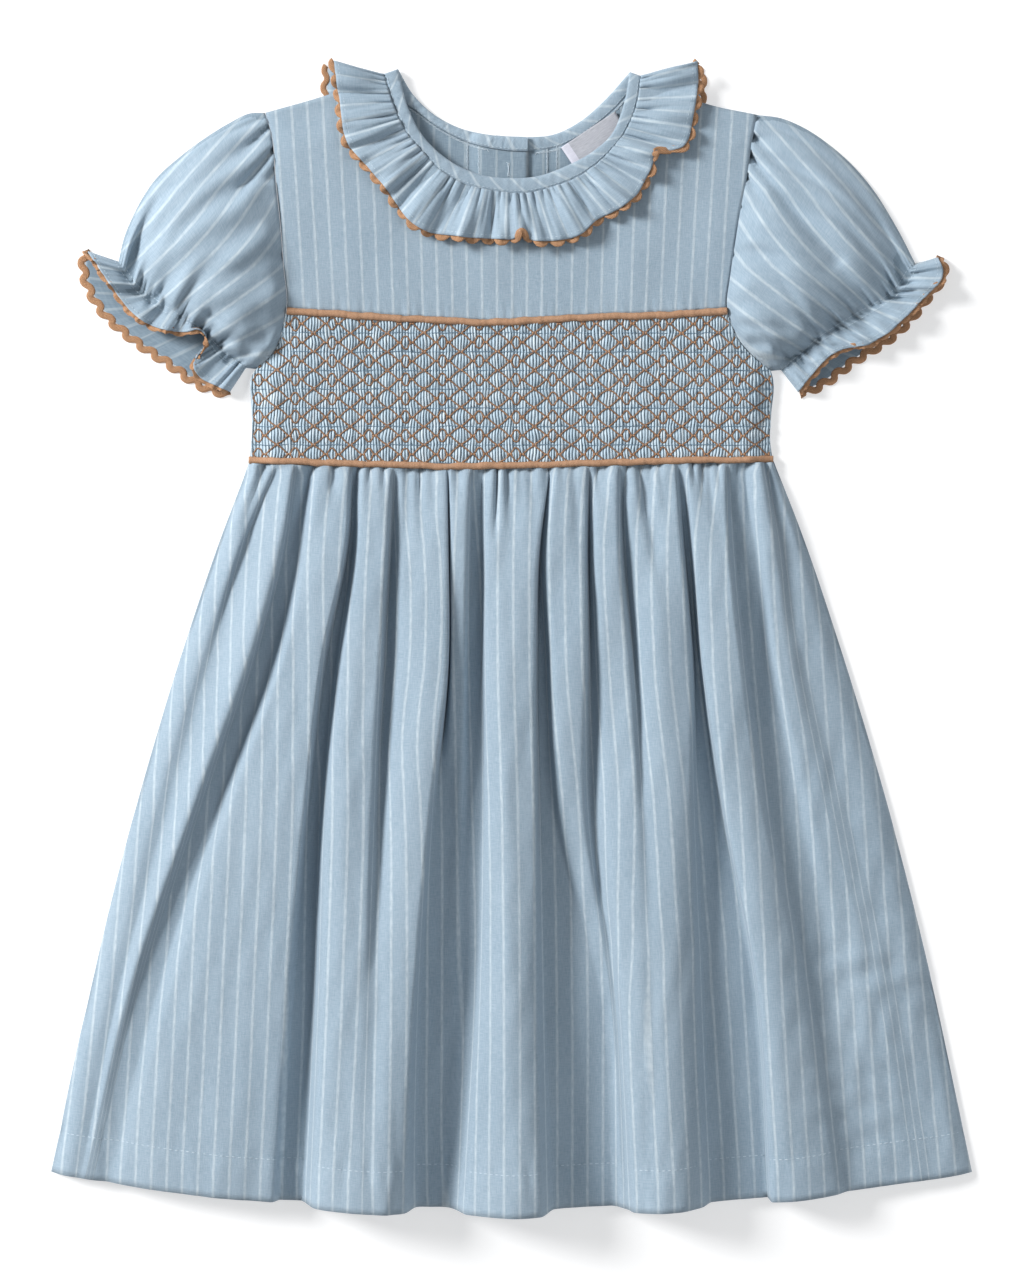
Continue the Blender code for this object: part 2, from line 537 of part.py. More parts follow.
def neck_frill_back(side):
    """Half of the frill behind, flat on the floor, and its ric-rac beside the edge."""
    columns = 15
    shares = np.linspace(0, 1, columns)
    if side == "left":
        seam_run = np.array([point for point in BACK_NECK_SEAM if point[0] < -9] + [(-10.0, 245.8)])
        edge_run = BACK_FRILL_EDGE_LEFT
    else:
        seam_run = np.array([(10.0, 244.6)] + [point for point in BACK_NECK_SEAM if point[0] > 12])
        edge_run = BACK_FRILL_EDGE_RIGHT
    seam = sideways(along(seam_run, shares), -SEAM)
    edge = along(edge_run, shares)
    depth = np.array([0, 0.5, 1.0])[:, None]
    x = seam[:, 0] + (edge[:, 0] - seam[:, 0]) * depth
    y = seam[:, 1] + (edge[:, 1] - seam[:, 1]) * depth
    cloth(f"neck_frill_back_{side}", x, y, np.zeros_like(x))
    zigzag = along(edge_run, np.linspace(0, 1, 31))
    sections = []
    for index, (inner, outer) in enumerate(zip(sideways(zigzag, -0.45), sideways(zigzag, -2.2))):
        shift = (outer - inner) * (0.85 if index % 2 else 0.0)
        inner, outer = inner + shift, outer + shift
        sections.append([(*inner, 0), (*inner, RICRAC_THICKNESS), (*outer, RICRAC_THICKNESS), (*outer, 0)])
    loft(f"ricrac_neck_back_{side}", sections, "tan")


def back_neck_run(start, end):
    """Points of the back neck seam between two places across."""
    x = np.linspace(start, end, 25)
    return np.stack([x, y_at(BACK_NECK_SEAM, x)], axis=-1)


def binding(name, seam_run, edge_run, bottom_of, columns):
    """A bias binding between a neck seam and the neck's open edge, rounded on top."""
    shares = np.linspace(0, 1, columns)
    seam = sideways(along(seam_run, shares), BINDING_SEAM)
    edge = along(edge_run, shares)
    middle = (seam + edge) / 2
    sections = []
    for outer, crown, inner in zip(seam, middle, edge):
        corners = []
        for place, height in ((outer, 0), (outer, 0.8), (crown, 1), (inner, 0.75), (inner, 0)):
            base = bottom_of(crown[0], crown[1])
            corners.append((place[0], place[1], base + height * BINDING_THICKNESS))
        sections.append(corners)
    loft(name, sections, "cloth")


def neck_bindings():
    """The front binding, and the two back halves that overlap at the placket."""
    binding("neck_binding_front", NECK_SEAM, NECK_EDGE, lambda x, y: front_lift(x, y) + 0.75, 33)
    left_seam = back_neck_run(BACK_NECK_SEAM[0][0], PLACKET_HALF)
    left_edge = [point for point in BACK_NECK_EDGE if point[0] < 9]
    right_seam = back_neck_run(-PLACKET_HALF, BACK_NECK_SEAM[-1][0])
    right_edge = [(-PLACKET_HALF, 252.3)] + [point for point in BACK_NECK_EDGE if point[0] > 0]
    binding("neck_binding_back_left", left_seam, left_edge,
            lambda x, y: back_lift(x, y, True) - 0.1, 19)
    binding("neck_binding_back_right", right_seam, right_edge,
            lambda x, y: back_lift(x, y, False) - 0.9, 19)


def piping(name, run, radius, lift, steps):
    """A corded piping, as a curve with a round bevel."""
    curve = bpy.data.curves.new(name, "CURVE")
    curve.dimensions = "3D"
    curve.bevel_depth = radius * MM
    curve.bevel_resolution = 1
    curve.use_fill_caps = True
    curve.materials.append(material("tan").copy())
    spline = curve.splines.new("POLY")
    shares = np.linspace(0.004, 0.996, steps)
    places = along(run, shares)
    spline.points.add(len(places) - 1)
    for point, (x, y) in zip(spline.points, places):
        z = float(front_lift(x, y)) + lift
        lean = 1 - z * LEAN_IN
        point.co = ((x * lean - ORIGIN[0]) * MM, (y * lean - ORIGIN[1]) * MM, z * MM, 1)
    garment.objects.link(bpy.data.objects.new(name, curve))


def sleeve(cut):
    """A puff sleeve as a tube from the armhole to the frilled cuff, with the ric-rac past its edge."""
    spread = (1 - np.cos(np.pi * np.arange(RING_HALF + 1) / RING_HALF)) / 2
    outward = SLEEVE_SEAM if cut.side == "left" else -SLEEVE_SEAM
    armhole = along(cut.armhole, spread) - (outward, 0)
    gather = along(cut.gather, spread)
    fold = along(cut.fold, PUFF_ROWS) - (outward, 0)
    underarm = armhole[-1] + (gather[-1] - armhole[-1]) * np.asarray(PUFF_ROWS)[:, None]
    arch = np.sin(np.pi * spread) ** 0.8
    at_armhole = front_lift(armhole[:, 0], armhole[:, 1]) + WALL
    at_gather = 4.0 + (GATHER_LIFT - 4.0) * arch
    stagger = np.where(np.arange(RING_HALF + 1) % 2, 1.0, -1.0) * (arch > 0.01)
    front_rows = []
    back_rows = []
    for s, rise, fold_end, under_end in zip(PUFF_ROWS, PUFF_RISE, fold, underarm):
        straight = armhole + (gather - armhole) * s
        flat = straight + (fold_end - straight[0]) * (1 - spread)[:, None]
        flat = flat + (under_end - straight[-1]) * spread[:, None]
        cap_pleat = PLEAT_DEPTH * max(0.0, 1 - abs(s - 0.15) / 0.3) * (spread < 0.6)
        gathered = 0.9 * max(0.0, (s - 0.7) / 0.3)
        z = at_armhole + (at_gather - at_armhole) * s + rise * arch
        z = z + stagger * (cap_pleat + gathered) * smooth(arch * 2)
        front_rows.append(np.column_stack([flat, z]))
        back_rows.append(np.column_stack([flat, np.zeros(len(flat))]))
    front_edge = along(cut.front_edge, spread)
    back_edge = along(cut.back_edge, spread)
    for t in CUFF_ROWS:
        z = at_gather + (CUFF_LIFT - at_gather) * t * (0.45 + 0.55 * arch)
        z = z + stagger * (0.9 + (CUFF_WAVE - 0.9) * t) * smooth(arch * 2)
        front_rows.append(np.column_stack([gather + (front_edge - gather) * t, z]))
        back_rows.append(np.column_stack([gather + (back_edge - gather) * t, np.zeros(len(gather))]))
    rings = []
    for front, back in zip(front_rows, back_rows):
        ring = np.concatenate([front, back[-2:0:-1]])
        for end, beside in ((0, 1), (RING_HALF, RING_HALF - 1)):
            ring[end, 2] = ring[beside, 2] / 2
        rings.append(ring)
    rings = np.array(rings)
    faces = grid_faces(len(rings), rings.shape[1], closed=True)
    if cut.side == "right":
        faces = [face[::-1] for face in faces]
    name = f"sleeve_{cut.side}"
    made = add_object(name, rings, faces, "cloth")
    thicken(made, WALL, -1)
    cuff_ricrac(cut.side, rings[-2], rings[-1])


def cuff_ricrac(side, before, edge):
    """Ric-rac round a cuff, starting just past the frill's edge."""
    count = len(edge)
    twice = np.arange(2 * count) / 2
    order = np.arange(count + 1)

    def doubled(values):
        looped = np.concatenate([values, values[:1]])
        return np.stack([np.interp(twice, order, looped[:, axis]) for axis in range(3)], axis=-1)

    def unit(values):
        return values / np.linalg.norm(values, axis=1, keepdims=True)

    ring_way = np.roll(edge, -1, axis=0) - np.roll(edge, 1, axis=0)
    past_edge = (edge - before) * (1, 1, 0)
    inward = unit(np.cross(unit(ring_way), unit(past_edge)))
    if inward[RING_HALF // 2, 2] > 0:
        inward = -inward
    middle = doubled(edge + inward * WALL / 2)
    half = unit(doubled(inward)) * RICRAC_THICKNESS / 2
    way = unit(doubled(unit(past_edge)))
    near = middle + way * (CUFF_RICRAC_START + 1.5 * (np.arange(2 * count) % 2))[:, None]
    far = near + way * 1.8
    sections = np.stack([near - half, near + half, far + half, far - half], axis=1)
    loft(f"ricrac_cuff_{side}", sections, "tan", closed=True)


def neck_label():
    """A plain woven label inside the back neck."""
    lift = FRILL_LIFT + WALL + 0.3
    corners = [(x, y, lift) for x, y in LABEL_CORNERS][::-1]
    plate = add_object("neck_label", corners, [(0, 1, 2, 3)], "label")
    thicken(plate, LABEL_THICKNESS, 1)


def buttons():
    """The back buttons, face down on the floor under the outer placket strip."""
    for name, y in BUTTON_PLACES.items():
        bpy.ops.mesh.primitive_cylinder_add(vertices=16, radius=BUTTON_RADIUS * MM, depth=BUTTON_THICKNESS * MM,
                                            location=(-ORIGIN[0] * MM, (y - ORIGIN[1]) * MM,
                                                      BUTTON_THICKNESS / 2 * MM))
        button = bpy.context.object
        button.name = name
        button.data.name = name
        button.data.materials.append(material("button").copy())
        for owner in list(button.users_collection):
            owner.objects.unlink(button)
        garment.objects.link(button)


def build():
    """Every piece of the dress."""
    front_skirt()
    back_skirt()
    smocked_panel()
    front_yoke()
    back_bodice("left")
    back_bodice("right")
    ricrac_front(neck_frill_front())
    neck_frill_back("left")
    neck_frill_back("right")
    neck_bindings()
    piping("piping_top", PIPING_TOP, PIPING_TOP_RADIUS, 1.5, 22)
    piping("piping_bottom", PIPING_BOTTOM, PIPING_BOTTOM_RADIUS, 1.4, 26)
    for cut in SLEEVES:
        sleeve(cut)
    neck_label()
    buttons()


for old in list(bpy.data.objects):
    bpy.data.objects.remove(old)
garment = bpy.data.collections.new("smocked_dress")
bpy.context.scene.collection.children.link(garment)
build()
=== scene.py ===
"""The looks of a child's smocked dress laid flat, front up: its cloth, trims and stitches.

Sizes are in millimetres and become metres when a mesh is made. x runs to the viewer's
right, y up the garment and z up from the floor. "Left" and "right" are the viewer's.
"""

import logging
import math
from collections import namedtuple
from dataclasses import dataclass
from enum import Enum
from typing import Callable, Sequence

import bmesh
import bpy
import numpy as np
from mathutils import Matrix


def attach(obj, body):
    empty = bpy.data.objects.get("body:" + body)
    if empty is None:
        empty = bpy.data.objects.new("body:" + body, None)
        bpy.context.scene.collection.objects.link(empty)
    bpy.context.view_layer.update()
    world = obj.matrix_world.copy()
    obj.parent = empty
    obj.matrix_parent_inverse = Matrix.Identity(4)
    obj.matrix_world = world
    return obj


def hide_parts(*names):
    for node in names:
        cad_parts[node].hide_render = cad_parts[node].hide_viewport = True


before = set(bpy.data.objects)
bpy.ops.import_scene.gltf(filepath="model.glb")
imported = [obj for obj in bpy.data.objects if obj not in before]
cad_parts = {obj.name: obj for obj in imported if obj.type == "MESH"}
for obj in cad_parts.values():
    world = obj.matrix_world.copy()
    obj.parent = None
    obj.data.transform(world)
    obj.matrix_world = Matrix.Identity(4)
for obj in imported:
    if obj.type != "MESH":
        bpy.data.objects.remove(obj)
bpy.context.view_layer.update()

log = logging.getLogger("smocked_dress")

Points = Sequence[tuple[float, float]]
Colour = tuple[float, float, float]

MM = 0.001
SOLID_WALL = 1.2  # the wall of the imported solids, which the layers are stacked by
CLOTH_WALL = 0.65
GAP = 0.35
SEAM = 0.05
SLEEVE_SEAM = 0.05
LEAN_IN = 1 / 1300  # how far raised cloth draws in toward the middle, for each mm it rises
ORIGIN = np.array([-0.3, 2.95])  # the middle of the outline, which is the world's origin

# Heights of the layers, each for the lower face of its cloth
FRONT_LIFT = 6.0
SIDE_LIFT = SOLID_WALL + 0.3
FRILL_LIFT = SOLID_WALL + 0.3
OUTER_PLACKET_LIFT = 2.3
INNER_PLACKET_LIFT = OUTER_PLACKET_LIFT + SOLID_WALL + 0.3
LIFT_RUN = 13.0
FRILL_REACH = 1.85  # where the back frill ends, in shares of the neck's half size
FRILL_REACH_RUN = 0.35
NECK_TOP = 285.0
NECK_HALF = 64.0
NECK_DEPTH = 41.0
SHOULDER_RUN = 25.0  # how far below the shoulder line the front reaches its full height
PLACKET_HALF = 8.0
PLACKET_RAMP_START = 14.0
PLACKET_RAMP_END = 26.0
PIPING_TOP_RADIUS = 1.4
PIPING_BOTTOM_RADIUS = 1.3
WAIST_UP = 90.0  # how far up the garment the waist seam is

# Lower face of the front bodice along its side edges, from below the underarm to the shoulder
EdgeLift = namedtuple("EdgeLift", "up lift")
EDGE_LIFTS = (
    EdgeLift(124, SIDE_LIFT), EdgeLift(136, 2.6), EdgeLift(148, 4.6), EdgeLift(160, 5.6),
    EdgeLift(172, FRONT_LIFT), EdgeLift(215, FRONT_LIFT), EdgeLift(240, 5.0), EdgeLift(255, 3.2), EdgeLift(263, SIDE_LIFT + 0.3),
)

# Rows of stitches, in millimetres: the thread's radius, the step from stitch to stitch and half a stitch
Stitching = namedtuple("Stitching", "radius pitch stitch")
HEM_STITCHING = Stitching(0.22, 2.9, 0.95)
TOP_STITCHING = Stitching(0.16, 2.0, 0.65)
FRILL_STITCHING = Stitching(0.17, 2.1, 0.7)
OVERLOCKING = Stitching(0.16, 0.9, 0.95)
KNOTS = Stitching(0.5, 0.9, 0.62)

# Outlines seen from above, from the neck downward or from the viewer's left to right
ARMHOLE_LEFT = ((-123.0, 262.5), (-120.0, 252.5), (-118.0, 230.5), (-115.5, 206.0), (-114.0, 186.0),
                (-112.5, 166.5), (-114.5, 156.5), (-117.0, 147.5), (-122.0, 140.5), (-128.0, 135.5))
ARMHOLE_RIGHT = ((122.5, 261.5), (120.0, 249.0), (117.5, 231.5), (114.5, 216.5), (111.5, 198.0),
                 (109.0, 181.5), (107.5, 165.5), (110.0, 156.5), (115.5, 147.0), (122.5, 140.0),
                 (129.5, 134.5))
SIDE_LEFT = ((-130.5, 131.0), (-130.5, 121.0), (-130.0, 106.0), (-131.0, 90.0))
SIDE_RIGHT = ((130.5, 130.5), (129.5, 112.0), (129.0, 100.0), (130.5, 89.0))
SHOULDER_LEFT = ((-123.0, 263.5), (-92.0, 272.5), (-64.0, 283.0))
SHOULDER_RIGHT = ((64.5, 282.0), (97.0, 268.0), (122.5, 262.5))
NECK_SEAM = ((-64.0, 283.0), (-59.5, 268.0), (-52.5, 253.5), (-44.5, 244.0), (-34.5, 234.0), (-23.5, 228.0),
             (-8.0, 224.5), (6.0, 223.5), (20.0, 226.5), (34.5, 232.5), (45.5, 241.0), (55.5, 252.5),
             (61.5, 265.0), (64.5, 282.0))
NECK_EDGE = ((-57.0, 285.5), (-52.0, 266.5), (-45.5, 253.5), (-38.5, 245.5), (-27.5, 237.5), (-15.0, 232.5),
             (-1.0, 231.0), (13.0, 232.0), (27.0, 237.0), (40.0, 244.0), (49.5, 252.5), (55.5, 266.5),
             (59.0, 284.0))
BACK_NECK_SEAM = ((-64.0, 283.0), (-58.0, 271.5), (-50.0, 266.0), (-36.0, 256.0), (-22.0, 249.0),
                  (-8.0, 245.5), (8.0, 244.5), (24.5, 247.0), (34.5, 252.0), (46.5, 261.0), (56.5, 271.0),
                  (64.5, 282.0))
BACK_NECK_EDGE = ((-57.0, 285.5), (-50.0, 273.5), (-40.0, 263.5), (-27.5, 256.5), (-10.5, 252.5),
                  (8.0, 251.5), (20.0, 252.5), (34.5, 259.5), (45.5, 269.0), (59.0, 284.0))
FRILL_EDGE = ((-89.0, 289.5), (-86.5, 272.0), (-81.0, 246.5), (-72.5, 237.0), (-64.0, 227.0), (-57.0, 217.0),
              (-51.5, 210.0), (-43.0, 204.5), (-27.5, 202.0), (-8.0, 200.5), (6.0, 200.0), (20.0, 199.5),
              (34.5, 203.0), (42.5, 210.0), (54.0, 216.0), (62.5, 223.0), (68.0, 232.5), (74.0, 242.5),
              (86.0, 247.0), (90.5, 262.0), (93.0, 279.0), (92.5, 289.5))
BACK_FRILL_EDGE_LEFT = ((-91.5, 287.0), (-92.0, 272.0), (-89.0, 260.0), (-80.0, 246.0), (-66.0, 234.0),
                        (-50.0, 226.0), (-31.0, 221.5), (-10.0, 220.5))
BACK_FRILL_EDGE_RIGHT = ((10.0, 220.5), (31.5, 221.5), (51.5, 226.0), (69.0, 235.0), (83.0, 247.5),
                         (91.0, 260.0), (94.0, 272.5), (93.5, 286.0))
PIPING_TOP = ((-112.0, 164.5), (-81.5, 162.5), (-50.0, 160.5), (-8.5, 159.0), (40.5, 161.5), (77.0, 162.5),
              (107.0, 164.5))
PIPING_BOTTOM = ((-131.0, 90.0), (-86.5, 88.5), (-23.0, 87.0), (40.5, 88.5), (95.0, 90.0), (130.0, 90.5))
LABEL_CORNERS = ((24.5, 246.2), (51.5, 264.2), (57.8, 254.8), (30.8, 236.8))


class Side(Enum):
    """The viewer's side that a piece lies on."""

    LEFT = "left"
    RIGHT = "right"


class Held(Enum):
    """How a sheet of cloth is held."""

    LAID = "laid"
    GATHERED = "gathered"
    FOLDED = "folded"


# Sleeve outlines: the armhole seam, the folded top, the elastic and the cuff's two edges
Sleeve = namedtuple("Sleeve", "side armhole fold gather front_edge back_edge")
SLEEVES = (
    Sleeve(Side.LEFT, ARMHOLE_LEFT,
           ((-123.5, 263.5), (-130.0, 263.5), (-142.0, 258.0), (-154.0, 250.5), (-166.0, 241.5),
            (-178.0, 230.5), (-184.0, 222.0), (-190.0, 210.5), (-193.5, 202.0), (-196.5, 189.0)),
           ((-196.5, 189.0), (-187.5, 176.0), (-174.5, 166.5), (-158.5, 157.0), (-142.0, 142.0),
            (-133.0, 136.0)),
           ((-212.0, 194.5), (-207.0, 187.0), (-198.0, 174.0), (-189.5, 163.5), (-181.5, 158.0),
            (-172.0, 155.0), (-163.0, 154.3), (-157.0, 155.8), (-153.2, 153.2), (-152.6, 149.0),
            (-157.2, 142.5), (-159.2, 137.5), (-156.0, 131.5), (-148.0, 127.3), (-141.0, 124.0)),
           ((-212.0, 194.5), (-213.0, 186.0), (-205.0, 166.5), (-190.5, 152.5), (-171.5, 139.5),
            (-152.0, 127.0), (-141.0, 124.0))),
    Sleeve(Side.RIGHT, ARMHOLE_RIGHT,
           ((122.5, 262.5), (134.0, 261.0), (146.0, 256.0), (158.0, 248.0), (170.0, 237.5), (182.0, 223.0),
            (188.0, 213.5), (194.0, 203.0), (201.5, 188.0)),
           ((201.5, 188.0), (190.5, 173.0), (172.0, 162.0), (154.0, 151.0), (142.0, 141.0), (134.5, 135.0)),
           ((213.0, 191.5), (215.5, 185.5), (202.5, 167.5), (180.5, 149.0), (160.0, 143.0), (151.0, 134.0),
            (143.0, 124.0)),
           ((213.0, 191.5), (214.5, 184.0), (205.5, 170.0), (190.5, 153.5), (169.0, 139.5), (153.0, 128.0),
            (143.0, 124.0))),
)

# How far the puff rises along the sleeve, from the armhole to the elastic
PUFF_ROWS = (0.0, 0.12, 0.28, 0.45, 0.62, 0.78, 0.9, 1.0)
PUFF_RISE = (0.0, 6.0, 10.0, 12.0, 11.0, 8.0, 4.0, 0.0)

# Small gathers at the waist: place across, drift for each mm down, length, half width, depth and
# how much wider the right side is
Gather = namedtuple("Gather", "across drift run wide deep softer")
WAIST_GATHERS = tuple(Gather(*row) for row in (
    (-123.5, -0.31, 44, 1.3, 3.2, 2.6), (-102.5, -0.12, 14, 0.9, 1.8, 2.0), (-97.8, -0.27, 52, 2.2, 3.0, 0.7),
    (-89.5, -0.06, 18, 0.9, 2.2, 2.4), (-76.0, -0.14, 28, 2.0, 3.0, 0.7), (-71.0, -0.08, 15, 0.9, 2.2, 1.8),
    (-64.5, 0.0, 20, 0.9, 2.2, 2.0), (-52.5, 0.0, 60, 1.8, 2.4, 2.0), (-46.7, 0.03, 42, 1.0, 2.8, 3.0),
    (-40.5, 0.04, 30, 1.0, 2.0, 2.4), (-28.0, 0.0, 16, 0.9, 2.4, 1.8), (-17.0, -0.05, 12, 1.2, 2.4, 1.2),
    (-12.5, -0.05, 34, 2.0, 1.8, 0.8), (-7.3, -0.03, 42, 0.8, 3.6, 1.2), (-3.0, 0.05, 36, 0.9, 2.8, 3.0),
    (3.5, 0.04, 30, 1.0, 1.8, 2.2), (8.5, 0.08, 30, 1.2, 2.4, 1.6), (18.4, -0.12, 26, 1.6, 2.8, 0.8),
    (24.5, 0.02, 14, 0.9, 1.4, 1.6), (30.0, 0.06, 60, 1.2, 1.5, 2.2), (42.2, 0.05, 22, 0.9, 2.6, 2.4),
    (46.5, 0.06, 14, 0.9, 1.6, 1.5), (57.0, 0.05, 20, 0.9, 2.2, 2.0), (62.0, 0.19, 70, 1.2, 3.2, 3.4),
    (68.5, 0.1, 20, 0.9, 2.2, 2.0), (73.0, 0.12, 26, 1.0, 1.8, 1.8), (89.5, 0.14, 16, 0.9, 2.4, 1.4),
    (94.5, 0.05, 24, 1.0, 3.2, 2.2), (98.5, 0.06, 36, 1.2, 2.2, 2.0), (102.5, 0.1, 18, 0.9, 2.2, 1.5),
    (112.0, 0.05, 20, 1.2, 2.0, 2.0), (117.0, 0.06, 40, 1.6, 2.4, 2.0), (126.0, 0.16, 60, 1.2, 2.2, 3.0),
))


@dataclass(frozen=True)
class Hollow:
    """A listed crease: its run seen from above, half widths and depths at its two ends."""

    run: Points
    wide: tuple[float, float]
    deep: tuple[float, float]
    softer: float = 1.0

    def __call__(self, x: np.ndarray, y: np.ndarray) -> np.ndarray:
        """How far it lowers the cloth at x, y, softer times as wide on the left of its run."""
        run = np.asarray(self.run, float)
        length = math.hypot(*(run[-1] - run[0]))
        way = (run[-1] - run[0]) / length
        beside = np.array([-way[1], way[0]])
        t = ((x - run[0, 0]) * way[0] + (y - run[0, 1]) * way[1]) / length
        off = (x - run[0, 0]) * beside[0] + (y - run[0, 1]) * beside[1]
        off = off - hermite((run - run[0]) @ way / length, (run - run[0]) @ beside, t)
        held = np.clip(t, 0, 1)
        wide = (self.wide[0] + (self.wide[1] - self.wide[0]) * held) * np.where(off > 0, self.softer, 1.0)
        deep = self.deep[0] + (self.deep[1] - self.deep[0]) * held
        past = np.maximum(np.maximum(-t, t - 1), 0) * length
        return -deep * np.exp(-((off / wide) ** 2) - (past / 3.0) ** 2)


SLEEVE_HOLLOWS = {
    Side.LEFT: (
        Hollow(((-121.5, 257.0), (-128.0, 251.5), (-134.0, 244.0)), (1.0, 1.8), (3.4, 0.4), 1.6),
        Hollow(((-119.0, 245.5), (-131.0, 231.0), (-145.0, 214.0), (-158.0, 203.0)), (1.3, 4.5),
               (4.8, 0.5), 1.0),
        Hollow(((-118.8, 236.0), (-122.5, 229.0)), (0.9, 1.3), (2.4, 0.3), 1.4),
        Hollow(((-126.0, 260.5), (-146.0, 251.5), (-166.0, 236.0)), (1.2, 2.0), (2.2, 0.6), 1.0),
        Hollow(((-178.5, 219.0), (-187.0, 199.0), (-191.5, 184.0)), (3.4, 2.4), (1.0, 6.0), 1.0),
        Hollow(((-169.0, 184.0), (-176.0, 174.0), (-180.5, 169.5)), (3.0, 1.6), (0.6, 4.5), 1.0),
        Hollow(((-151.0, 163.0), (-144.0, 158.0), (-138.0, 157.0)), (2.2, 3.2), (2.6, 0.6), 1.0),
        Hollow(((-150.0, 148.5), (-141.0, 149.0), (-131.0, 151.0)), (1.4, 2.6), (3.4, 0.6), 1.3),
        Hollow(((-141.0, 140.5), (-134.0, 142.0), (-125.0, 146.0)), (1.6, 2.2), (3.4, 0.4), 1.0),
    ),
    Side.RIGHT: (
        Hollow(((119.5, 252.5), (126.0, 246.0), (133.0, 237.5)), (1.0, 2.0), (3.4, 0.4), 1.4),
        Hollow(((118.5, 243.0), (128.0, 231.0), (141.0, 215.0), (163.0, 190.0)), (1.3, 4.8), (4.6, 1.6), 1.0),
        Hollow(((116.8, 232.0), (123.0, 222.0), (131.0, 210.0)), (0.9, 2.6), (3.0, 0.3), 1.2),
        Hollow(((124.5, 259.5), (146.0, 249.0), (165.0, 234.0)), (1.2, 2.0), (2.2, 0.6), 1.0),
        Hollow(((176.0, 214.0), (187.0, 197.0), (196.0, 184.0)), (3.4, 2.0), (0.8, 5.0), 1.0),
        Hollow(((160.0, 190.0), (171.0, 175.0), (178.0, 167.5)), (3.6, 1.6), (1.0, 5.0), 1.0),
        Hollow(((131.0, 186.0), (143.0, 167.0), (152.0, 153.5)), (3.0, 1.6), (0.6, 4.2), 1.0),
        Hollow(((112.0, 160.0), (126.0, 152.0), (137.0, 141.0)), (2.4, 1.6), (0.5, 3.6), 1.0),
    ),
}

